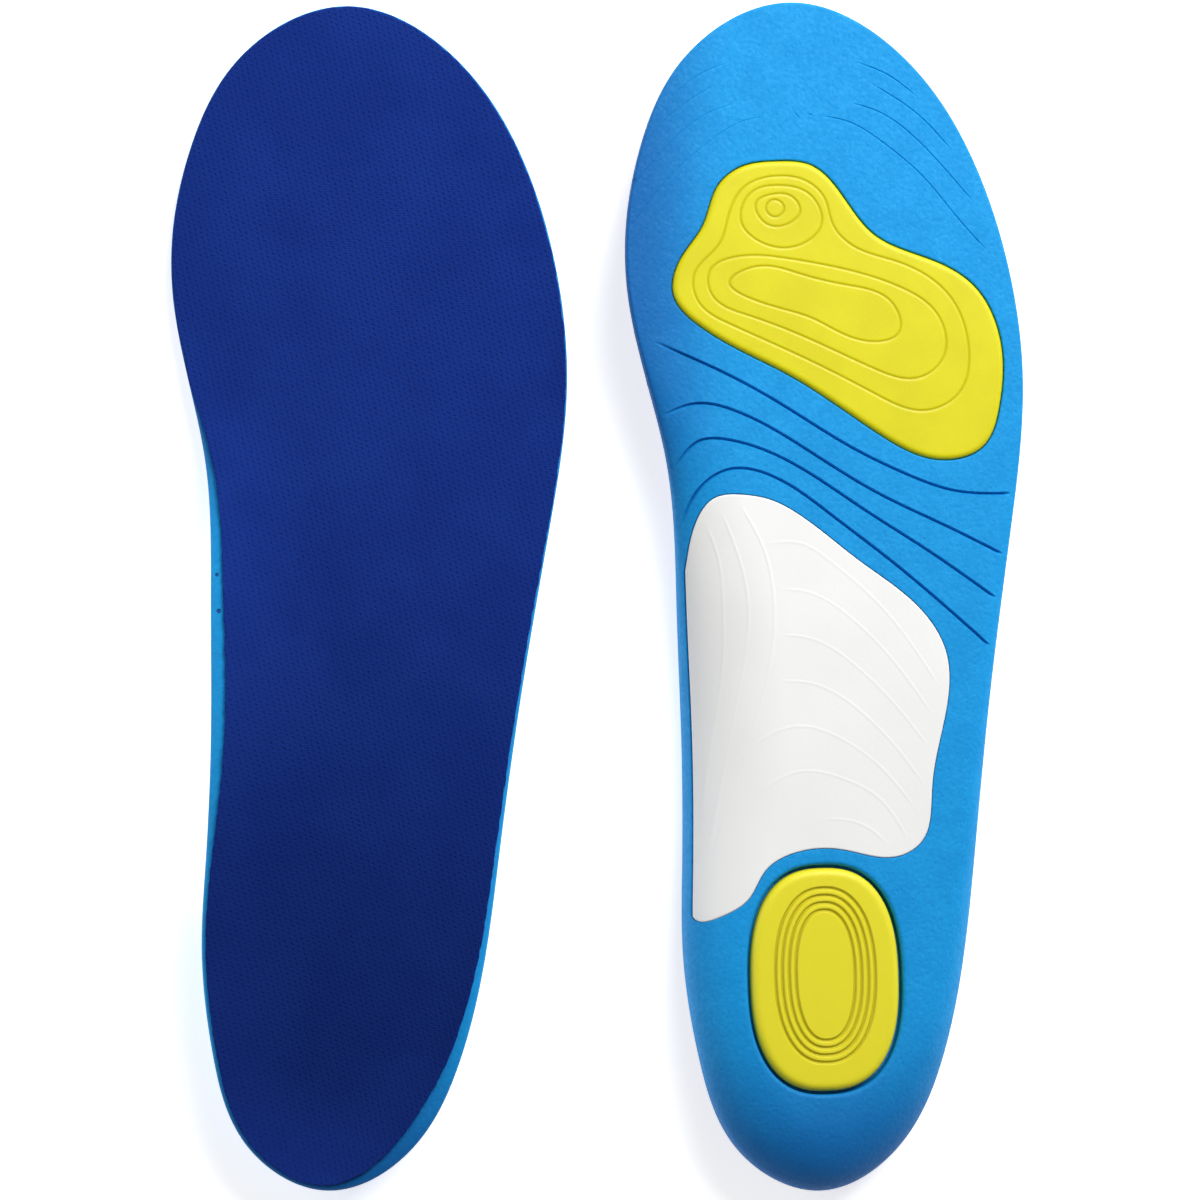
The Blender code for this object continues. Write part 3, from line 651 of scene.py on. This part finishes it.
def skin_mesh(name, depth, thickness, edge):
    """A layer of the top surface inside the bare band, with a rounded upper edge."""
    edge_line = RAYS.band + np.random.default_rng(FRAY_SEED).uniform(-FRAY, FRAY, len(RAYS.band))
    shares = (0.06, 0.13, 0.21, 0.3, 0.4, 0.51, 0.63, 0.76, 0.88, 1)
    bowl = [edge_line + edge + (RAYS.bowl - edge_line - edge) * share for share in shares]
    floor = [RAYS.bowl + (RAYS.length - RAYS.bowl) * share for share in np.linspace(0, 1, 7)[1:]]
    upper = [
        RAYS.ring(inset, RAYS.cover_height(inset) - depth - round_over(inset - edge_line, edge))
        for inset in [edge_line + edge * share for share in (0, *QUARTER)] + bowl + floor
    ]
    lower = [
        RAYS.ring(inset, RAYS.cover_height(inset) - depth - thickness)
        for inset in [edge_line] + bowl[1::2] + floor
    ]
    return welded(name, [lofted(upper[::-1] + lower)])


def pad_mesh(name, loop, thickness, edge, contours):
    """A gel pad whose lower face carries contour grooves and a rounded edge."""
    plan = Plan(loop)
    for share in QUARTER_AND_FLAT:
        plan.line(beside(loop, -edge * share, True), True)
    for contour in contours:
        plan.relief(contour)
    plan.grid()
    flat, faces = plan.triangles()
    height = round_over(distance_to(flat, loop)[0], edge) + sum(c.depth_at(flat) for c in contours)
    side = [raised(loop, z) for z in (edge, (edge + thickness) / 2, thickness)]
    back, back_faces = Plan(loop).triangles()
    patches = [(raised(flat, height), faces), lofted(side), (raised(back, thickness), back_faces)]
    mesh = welded(name, patches)
    # The grooves' depth, kept for the gel's painted shade.
    form = np.array([vertex.co for vertex in mesh.vertices])
    depth = sum(c.depth_at(form[:, :2]) for c in contours) * (form[:, 2] < thickness / 2)
    mesh.attributes.new("groove", "FLOAT", "POINT").data.foreach_set("value", depth)
    return mesh


def shell_loop():
    """The shell's outline, kept the same distance inside the insole's own along the arch."""
    loop = closed_curve(ARCH_SHELL)
    rays, _ = under(loop)
    beyond = np.sign(rays.spine_x - rays.x) * (loop[:, 0] - rays.x) < SHELL_RIM_INSET
    edge = rays.place(np.full(len(loop), SHELL_RIM_INSET))
    return np.where(beyond[:, None], edge, loop)


def add_arch_rows(plan):
    """Adds rows of points where the arch wall is steep."""
    for inset in ARCH_WALL_ROWS:
        plan.scatter(RAYS.place(np.full(len(RAYS.x), inset)), ARCH_ROW_CLEARANCE)


def shell_mesh(name, loop, ridges):
    """The arch shell: a plate that follows the sole, with a rounded edge and ridges on its face."""
    plan = Plan(loop)
    for share in QUARTER_AND_FLAT:
        plan.line(beside(loop, -SHELL_EDGE * share, True), True)
    for ridge in ridges:
        plan.relief(ridge)
    add_arch_rows(plan)
    plan.grid(SHELL_GRID_STEP)
    flat, faces = plan.triangles()
    base, normal = sole_surface(flat)
    rise = round_over(distance_to(flat, loop)[0], SHELL_EDGE) + sum(r.depth_at(flat) for r in ridges)
    rim, rim_normal = sole_surface(loop)
    side = [rim + rim_normal * rise for rise in (SHELL_EDGE, SHELL_THICKNESS)]
    plan = Plan(loop)
    add_arch_rows(plan)
    plan.grid()
    flat_back, back_faces = plan.triangles()
    back, back_normal = sole_surface(flat_back)
    return welded(
        name,
        [
            (base + normal * rise[:, None], faces),
            lofted(side),
            (back + back_normal * SHELL_THICKNESS, back_faces),
        ],
    )


def foam_mesh(name, forefoot, heel, shell, grooves):
    """The foam: moulded sole with grooves and recesses, edge, bare band and the face under the cover."""
    outline = RAYS.place(0)
    flats = (
        (beside(forefoot, FOREFOOT_PAD_GAP, True), FOREFOOT_LIP, FOREFOOT_PAD_THICKNESS + GLUE_ROOM),
        (beside(heel, HEEL_PAD_GAP, True), HEEL_LIP, HEEL_PAD_THICKNESS + GLUE_ROOM),
    )
    shell_recess = beside(shell, SHELL_GAP, True)
    lips = [(loop, lip) for loop, lip, _ in flats] + [(shell_recess, SHELL_LIP)]
    plan = Plan(outline)
    for loop, lip in lips:
        plan.hole(loop)
        for share in QUARTER_AND_FLAT:
            plan.line(beside(loop, lip * share, True), True)
    for groove in grooves:
        plan.relief(groove)
    for share in QUARTER:
        plan.scatter(RAYS.place(FOAM_EDGE * share), clearance=0.02)
    for share in 1 - np.sin(np.radians([75, 65, 55, 45, 35, 25, 15, 7, 0])):
        plan.scatter(RAYS.place(FOAM_EDGE + (RAYS.flare - FOAM_EDGE) * share), clearance=0.3)
    plan.grid()
    flat, faces = plan.triangles()

    def height(points):
        rays, inset = under(points)
        z = rays.sole_height(inset) + round_over(inset, FOAM_EDGE)
        for loop, lip in lips:
            close = near(points, loop, lip)
            z[close] += round_over(distance_to(points[close], loop)[0], lip)
        return z + sum(groove.depth_at(points) for groove in grooves)

    patches = [(raised(flat, height(flat)), faces)]
    for loop, _, ceiling in flats:
        roof, roof_faces = Plan(loop).triangles()
        patches.append(lofted([raised(loop, height(loop)), raised(loop, ceiling)]))
        patches.append((raised(roof, ceiling), roof_faces))
    plan = Plan(shell_recess)
    plan.grid()
    roof, roof_faces = plan.triangles()
    depth = SHELL_THICKNESS + GLUE_ROOM
    points, normal = sole_surface(roof)
    rim, rim_normal = sole_surface(shell_recess)
    patches += [
        lofted([raised(shell_recess, height(shell_recess)), rim + rim_normal * depth]),
        (points + normal * depth, roof_faces),
    ]
    shares = (0.25, 0.5, 0.8, 1)
    band = [FOAM_EDGE + (RAYS.band - FOAM_EDGE) * share for share in shares]
    edge = FOAM_EDGE * np.minimum(1, RAYS.band)
    insets = [edge * share for share in (0, *QUARTER)]
    insets += [np.maximum(row, insets[-1] + 0.02 * (n + 1)) for n, row in enumerate(band)]
    insets += [insets[-1] + (RAYS.bowl - insets[-1]) * share for share in (0.15, 0.35, 0.65, 1)]
    insets += [RAYS.bowl + (RAYS.length - RAYS.bowl) * share for share in (0.35, 0.7, 1)]
    top = [RAYS.ring(inset, RAYS.foam_height(inset) - round_over(inset, edge)) for inset in insets]
    low = raised(outline, height(outline))
    patches.append(lofted([low, (low + top[0]) / 2] + top))
    return welded(name, patches, sharp=50)


# ---------------------------------------------------------------- materials


class Shading:
    """A node material built round a Principled shader, patterned in millimetres of the insole's form."""

    def __init__(self, name, **sockets):
        self.material = bpy.data.materials.new(name)
        self.material.use_nodes = True
        self.tree = self.material.node_tree
        self.shader = self.tree.nodes["Principled BSDF"]
        for socket, value in sockets.items():
            self.shader.inputs[socket.replace("_", " ")].default_value = value

    def node(self, kind, inputs=(), **settings):
        """Adds a node, with values or links for its inputs."""
        node = self.tree.nodes.new(f"ShaderNode{kind}")
        for key, value in settings.items():
            setattr(node, key, value)
        for key, value in dict(inputs).items():
            if isinstance(value, bpy.types.NodeSocket):
                self.tree.links.new(value, node.inputs[key])
            else:
                node.inputs[key].default_value = value
        return node

    def form(self):
        return self.node("Attribute", attribute_name="form").outputs["Vector"]

    def object_form(self):
        """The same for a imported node, whose own coordinates are metres in the row frame."""
        place = self.node("TexCoord").outputs["Object"]
        return self.node("VectorMath", {0: place, 1: (1000, 1000, 1000)}, operation="MULTIPLY").outputs[0]

    def wavy(self, place, size, reach):
        """The place, shifted to and fro by a noise of the given size, so that rows aren't ruled."""
        inputs = {"Vector": place, "Scale": 1 / size, "Detail": 1.0}
        shift = self.node("TexNoise", inputs).outputs["Color"]
        inputs = {0: shift, 1: (2 * reach,) * 3, 2: (-reach,) * 3}
        shift = self.node("VectorMath", inputs, operation="MULTIPLY_ADD").outputs[0]
        return self.node("VectorMath", {0: place, 1: shift}, operation="ADD").outputs[0]

    def lattice(self, place, u, v):
        """Where a place lies in its cell, from -0.5 to 0.5, in a lattice with cells counted by u and v."""
        counts = [
            self.node("VectorMath", {0: place, 1: (*count, 0)}, operation="DOT_PRODUCT").outputs["Value"]
            for count in (u, v)
        ]
        cell = self.node("CombineXYZ", {0: counts[0], 1: counts[1]}).outputs[0]
        cell = self.node("VectorMath", {0: cell}, operation="FRACTION").outputs[0]
        return self.node("VectorMath", {0: cell, 1: (-0.5, -0.5, 0)}, operation="ADD").outputs[0]

    def oval(self, cell, half_u, half_v):
        """Zero at the cell's middle and one on an oval with the given half widths."""
        inputs = {0: cell, 1: (1 / half_u, 1 / half_v, 0)}
        scaled = self.node("VectorMath", inputs, operation="MULTIPLY").outputs[0]
        return self.node("VectorMath", {0: scaled}, operation="LENGTH").outputs["Value"]

    def noise(self, place, size, detail=2.0, rough=0.5):
        """Noise from 0 to 1 whose features have the given size."""
        inputs = {"Vector": place, "Scale": 1 / size, "Detail": detail, "Roughness": rough}
        return self.node("TexNoise", inputs).outputs["Fac"]

    def cells(self, place, size):
        return self.node("TexVoronoi", {"Vector": place, "Scale": 1 / size}).outputs["Distance"]

    def ramp(self, value, low, high, to_low=0.0, to_high=1.0):
        inputs = {"Value": value, 1: low, 2: high, 3: to_low, 4: to_high}
        return self.node("MapRange", inputs, interpolation_type="SMOOTHSTEP").outputs[0]

    def math(self, operation, *values):
        return self.node("Math", dict(enumerate(values)), operation=operation).outputs[0]

    def mix(self, factor, low, high):
        inputs = {0: factor, 6: low, 7: high}
        return self.node("Mix", inputs, data_type="RGBA").outputs[2]

    def colour(self, value):
        self.tree.links.new(value, self.shader.inputs["Base Color"])

    def roughness(self, value):
        self.tree.links.new(value, self.shader.inputs["Roughness"])

    def bump(self, *heights):
        """Bump from heights in millimetres."""
        total = heights[0]
        for height in heights[1:]:
            total = self.math("ADD", total, height)
        normal = self.node("Bump", {"Height": total, "Distance": MM}).outputs[0]
        self.tree.links.new(normal, self.shader.inputs["Normal"])


def linear(*srgb):
    """A linear colour from 0 to 255 sRGB values."""
    shares = [value / 255 for value in srgb]
    return (*[s / 12.92 if s <= 0.04045 else ((s + 0.055) / 1.055) ** 2.4 for s in shares], 1)


def knit_material():
    """Double knit: staggered dark tucks in slanting rows over fine loops, with painted shade in the heel
    cup.
    """
    s = Shading("knit", Roughness=0.9, Specular_IOR_Level=0.05, Sheen_Weight=0.04, Sheen_Roughness=0.5)
    s.shader.inputs["Sheen Tint"].default_value = linear(90, 130, 230)
    place = s.form()
    column, row = 1.35, 1.1  # spacings of the tucks across and along
    tucks = s.lattice(s.wavy(place, 2.2, 0.35), (1 / column, 0.25 / column), (0.5 / column, 1 / row))
    tucks = s.ramp(s.oval(tucks, 0.3, 0.42), 1.0, 0.2)
    tucks = s.math("MULTIPLY", tucks, s.ramp(s.noise(place, 1.4), 0.35, 0.65, 0.6, 1.0))
    loops = s.lattice(s.wavy(place, 1.2, 0.12), (1 / 0.45, 0.3), (0, 1 / 0.55))
    loops = s.ramp(s.oval(loops, 0.5, 0.5), 0.3, 1.0)
    patches = s.ramp(s.noise(place, 18.0, 3), 0.3, 0.7)
    ground = s.mix(patches, linear(21, 48, 129), linear(25, 54, 137))
    ground = s.mix(s.math("MULTIPLY", loops, 0.3), ground, linear(15, 38, 112))
    ground = s.mix(s.math("MULTIPLY", tucks, 0.7), ground, linear(14, 36, 106))
    # Painted shade: the knit darkens towards the heel cup.
    along = s.node("SeparateXYZ", {0: place}).outputs["Y"]
    s.colour(s.mix(s.ramp(along, *SHADED_COVER_Y, 0.0, 0.42), ground, linear(8, 22, 72)))
    fibres = s.noise(place, 0.18, 3, 0.7)
    s.bump(
        s.math("MULTIPLY", tucks, -0.14),
        s.math("MULTIPLY", loops, -0.05),
        s.math("MULTIPLY", fibres, 0.03),
    )
    return s.material


def foam_material():
    """Moulded foam: matt and finely grained, with painted shade at the inner forefoot and the heel end."""
    s = Shading("foam", Roughness=0.6, Specular_IOR_Level=0.22)
    place = s.form()
    mottle = s.noise(place, 9.0, 4, 0.6)
    grain = s.noise(place, 1.1, 3, 0.65)
    cells = s.cells(place, 1.3)
    ground = s.mix(s.ramp(mottle, 0.3, 0.7), linear(6, 144, 213), linear(16, 152, 221))
    ground = s.mix(s.ramp(grain, 0.35, 0.65, 0.0, 0.4), ground, linear(8, 131, 202))
    where = s.node("SeparateXYZ", {0: place}).outputs
    # Painted shade: the foam darkens towards the inner forefoot and towards the heel end.
    inner = s.math("MULTIPLY", s.ramp(where["X"], *SHADED_INNER_X), s.ramp(where["Y"], *SHADED_FOREFOOT_Y))
    painted_shade = s.math("MAXIMUM", inner, s.ramp(where["Y"], *SHADED_HEEL_Y))
    ground = s.mix(s.math("MULTIPLY", painted_shade, 0.75), ground, linear(6, 76, 152))
    vents = 0.0
    for x, y, radius in VENT_MARKS:
        rays, inset = under(np.array([(x, y)]))
        middle = (x, y, float(rays.foam_height(inset)[0]))
        away = s.node("VectorMath", {0: place, 1: middle}, operation="DISTANCE").outputs["Value"]
        vents = s.math("ADD", s.ramp(away, radius, 0.5 * radius), vents)
    s.colour(s.mix(vents, ground, linear(6, 72, 150)))
    s.roughness(s.ramp(grain, 0.3, 0.7, 0.55, 0.72))
    s.bump(
        s.math("MULTIPLY", grain, 0.08),
        s.math("MULTIPLY", s.ramp(cells, 0.1, 0.6), 0.04),
        s.math("MULTIPLY", vents, -0.3),
    )
    return s.material


def gel_material():
    """Soft gel: satin, slightly cloudy, with painted shade in its grooves and painted light at the heel.
    """
    s = Shading(
        "gel",
        Roughness=0.42,
        Specular_IOR_Level=0.3,
        Subsurface_Weight=0.1,
        Subsurface_Scale=0.002,
    )
    place = s.form()
    cloud = s.noise(place, 12.0, 3)
    grain = s.noise(place, 0.35, 2)
    along = s.node("SeparateXYZ", {0: place}).outputs["Y"]
    ground = s.mix(s.ramp(cloud, 0.3, 0.7), linear(210, 202, 10), linear(216, 208, 12))
    # Painted light: the gel grows lighter from the forefoot pad to the heel pad.
    ground = s.mix(s.ramp(along, *PAINTED_LIGHT_GEL_Y), ground, linear(228, 218, 44))
    groove = s.node("Attribute", attribute_name="groove").outputs["Fac"]
    # Painted shade: the gel darkens with the depth of its grooves.
    s.colour(s.mix(s.ramp(groove, 0.0, CONTOUR[1], 0.0, 0.45), ground, linear(168, 154, 4)))
    s.roughness(s.ramp(grain, 0.3, 0.7, 0.38, 0.5))
    s.bump(s.math("MULTIPLY", grain, 0.03), s.math("MULTIPLY", cloud, 0.05))
    return s.material


def shell_material():
    """Moulded nylon: white, with a fine spark-eroded grain."""
    s = Shading("shell", Roughness=0.45, Specular_IOR_Level=0.45)
    place = s.form()
    cloud = s.noise(place, 30.0, 2)
    grain = s.noise(place, 0.3, 3, 0.6)
    s.colour(s.mix(s.ramp(cloud, 0.3, 0.7), linear(234, 234, 232), linear(238, 238, 236)))
    s.roughness(s.ramp(grain, 0.3, 0.7, 0.4, 0.55))
    s.bump(s.math("MULTIPLY", grain, 0.025))
    return s.material


def film_material():
    """Hot-melt film: milky, with fine wrinkles."""
    s = Shading("film", Roughness=0.4, Specular_IOR_Level=0.4)
    wrinkles = s.noise(s.form(), 1.5, 3)
    s.colour(s.mix(s.ramp(wrinkles, 0.3, 0.7), linear(160, 192, 222), linear(178, 206, 230)))
    s.bump(s.math("MULTIPLY", wrinkles, 0.03))
    return s.material


def glue_material():
    """Set contact glue: yellowish, with flow marks."""
    s = Shading("glue", Roughness=0.35, Specular_IOR_Level=0.5)
    flow = s.noise(s.object_form(), 5.0, 4)
    s.colour(s.mix(s.ramp(flow, 0.3, 0.7), linear(214, 198, 150), linear(232, 220, 180)))
    s.roughness(s.ramp(flow, 0.3, 0.7, 0.3, 0.45))
    s.bump(s.math("MULTIPLY", flow, 0.05))
    return s.material


def floor_material():
    """White paper that glows enough to keep shadows pale."""
    s = Shading("floor", Roughness=0.8, Specular_IOR_Level=0.1, Emission_Strength=FLOOR_GLOW)
    s.shader.inputs["Emission Color"].default_value = (1, 1, 1, 1)
    haze = s.noise(s.object_form(), 400.0, 2)
    s.colour(s.mix(s.ramp(haze, 0.3, 0.7), linear(247, 247, 247), linear(249, 249, 249)))
    return s.material


# ---------------------------------------------------------------- the pair


def insole_meshes():
    """One insole's meshes by piece name."""
    forefoot = closed_curve(FOREFOOT_PAD)
    heel = superellipse(HEEL_PAD_CENTRE, HEEL_PAD_HALF, HEEL_PAD_POWER, HEEL_PAD_COUNT)
    shell = shell_loop()
    grooves = [Relief(open_curve(points), *FLEX_GROOVE, fades=GROOVE_FADES) for points in FLEX_GROOVES]
    for points in TRIM_LINES:
        grooves.append(Relief(open_curve(points), *TRIM_LINE, fades=TRIM_FADES))
        mirrored = [(2 * TRIM_AXIS - x, y) for x, y in points]
        grooves.append(Relief(open_curve(mirrored), *FAINT_TRIM_LINE, fades=TRIM_FADES))
    grooves += [Relief(open_curve(tick), *TRIM_LINE) for tick in TRIM_TICKS]
    contours = [Relief(closed_curve(loop), *CONTOUR, closed=True) for loop in FOREFOOT_CONTOURS]
    rings = []
    for i in range(HEEL_RINGS):
        half = [size - step * i for size, step in zip(HEEL_RING_HALF, HEEL_RING_STEP)]
        loop = superellipse(HEEL_RING_CENTRE, half, HEEL_RING_POWER, HEEL_RING_COUNT)
        rings.append(Relief(loop, *HEEL_RING, closed=True))
    ridges = [Relief(open_curve(points), *LONG_RIDGE, fades=RIDGE_FADES) for points in LONG_RIDGES]
    ridges += [Relief(open_curve(points), *FAN_RIDGE, fades=RIDGE_FADES) for points in FAN_RIDGES]
    return {
        "top_cover": skin_mesh("top_cover", 0, COVER_THICKNESS, COVER_EDGE),
        "cover_film": skin_mesh("cover_film", COVER_THICKNESS + LAYER_GAP, FILM_THICKNESS, FILM_EDGE),
        "foam_base": foam_mesh("foam_base", forefoot, heel, shell, grooves),
        "forefoot_gel_pad": pad_mesh(
            "forefoot_gel_pad", forefoot, FOREFOOT_PAD_THICKNESS, FOREFOOT_PAD_EDGE, contours
        ),
        "heel_gel_pad": pad_mesh("heel_gel_pad", heel, HEEL_PAD_THICKNESS, HEEL_PAD_EDGE, rings),
        "arch_shell": shell_mesh("arch_shell", shell, ridges),
    }


def placement(side):
    """The matrix from the insole's own frame, in millimetres, to the row frame."""
    mounts = {mount["name"]: mount for mount in frame["record"]["mounts"]}
    heel, fore = (mounts[f"{side}_{end}_pad_face"] for end in ("heel", "forefoot"))
    hand = 1 if side == "right" else -1
    origin, up = Vector(heel["pos_m"]), -Vector(heel["axis"]).normalized()
    towards = (Vector(fore["pos_m"]) - origin).normalized()
    own = Vector(FOREFOOT_FACE) - Vector(HEEL_PAD_CENTRE)
    y = Quaternion(up, hand * math.atan2(own.x, own.y)) @ towards
    x = hand * y.cross(up)
    matrix = Matrix((x * MM, y * MM, up * MM)).transposed().to_4x4()
    matrix.translation = origin - matrix.to_3x3() @ Vector((*HEEL_PAD_CENTRE, 0))
    return matrix


def flex_span(matrix):
    """Where the flex span starts and ends, in the row frame, at the middle of the flex line."""
    inner, outer = Vector((*FLEX_INNER, 0)), Vector((*FLEX_OUTER, 0))
    along = (outer - inner).normalized()
    forward = Vector((-along.y, along.x, 0))
    middle = (inner + outer) / 2
    return [matrix @ (middle + forward * reach) for reach in (-BEND_BEFORE, BEND_AFTER)]


def make_insole(side, meshes, materials):
    """Puts one insole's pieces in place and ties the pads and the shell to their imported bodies."""
    matrix = placement(side)
    start, end = flex_span(matrix)
    for piece, mesh in meshes.items():
        where, slot = PIECES[piece]
        own = mesh.copy()
        own.transform(matrix)
        if matrix.determinant() < 0:
            own.flip_normals()
        name = f"{side}_{piece}"
        obj = bpy.data.objects.new(f"{name}_shown", own)
        bpy.context.scene.collection.objects.link(obj)
        own.materials.append(materials[slot])
        if where == "both":
            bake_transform(obj)
            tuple(start)
            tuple(end)
            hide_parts(f"{name}_rear", f"{name}_front")
        else:
            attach(obj, f"{side}_{where}")
            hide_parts(name)
    for glue in GLUES:
        frame["nodes"][f"{side}_{glue}"].material_slots[0].material = materials["glue"]


def make_floor(material):
    """A round floor that the pair lies on."""
    mesh = bpy.data.meshes.new("floor")
    bm = bmesh.new()
    bmesh.ops.create_circle(bm, cap_ends=True, segments=96, radius=FLOOR_RADIUS)
    bm.to_mesh(mesh)
    bm.free()
    mesh.materials.append(material)
    floor = bpy.data.objects.new("floor", mesh)
    bpy.context.scene.collection.objects.link(floor)


def make_lights():
    """A world that is bright up to a little above the horizon, and the two area lights."""
    world = bpy.data.worlds.new("studio")
    world.use_nodes = True
    nodes, links = world.node_tree.nodes, world.node_tree.links
    height = nodes.new("ShaderNodeSeparateXYZ")
    links.new(nodes.new("ShaderNodeTexCoord").outputs["Generated"], height.inputs[0])
    fade = nodes.new("ShaderNodeMapRange")
    ends = {"From Min": HORIZON[0], "From Max": HORIZON[1], "To Min": 1.0, "To Max": WORLD_LIGHT}
    for socket, value in ends.items():
        fade.inputs[socket].default_value = value
    links.new(height.outputs["Z"], fade.inputs["Value"])
    links.new(fade.outputs[0], nodes["Background"].inputs["Strength"])
    nodes["Background"].inputs["Color"].default_value = (1, 1, 1, 1)
    bpy.context.scene.world = world
    for name, place, size, energy in LIGHTS:
        light = bpy.data.lights.new(name, "AREA")
        light.size = size
        light.energy = energy
        obj = bpy.data.objects.new(name, light)
        obj.location = place
        obj.rotation_euler = (-Vector(place)).to_track_quat("-Z", "Y").to_euler()
        bpy.context.scene.collection.objects.link(obj)


def make_camera():
    """A camera straight above the pair."""
    camera = bpy.data.cameras.new("camera")
    camera.sensor_width = 36.0
    camera.lens = camera.sensor_width * CAMERA_DISTANCE / VIEW_WIDTH
    camera.clip_start = 0.05
    obj = bpy.data.objects.new("camera", camera)
    obj.location = (*CAMERA_OFFSET, VIEW_HEIGHT + CAMERA_DISTANCE)
    bpy.context.scene.collection.objects.link(obj)
    bpy.context.scene.camera = obj


def main():
    materials = {
        "cover_knit": knit_material(),
        "cover_film": film_material(),
        "foam": foam_material(),
        "gel": gel_material(),
        "arch_shell": shell_material(),
        "glue": glue_material(),
    }
    meshes = insole_meshes()
    for side in ("right", "left"):
        make_insole(side, meshes, materials)
    make_floor(floor_material())
    make_lights()
    make_camera()
    bpy.context.scene.view_settings.view_transform = "Standard"


main()
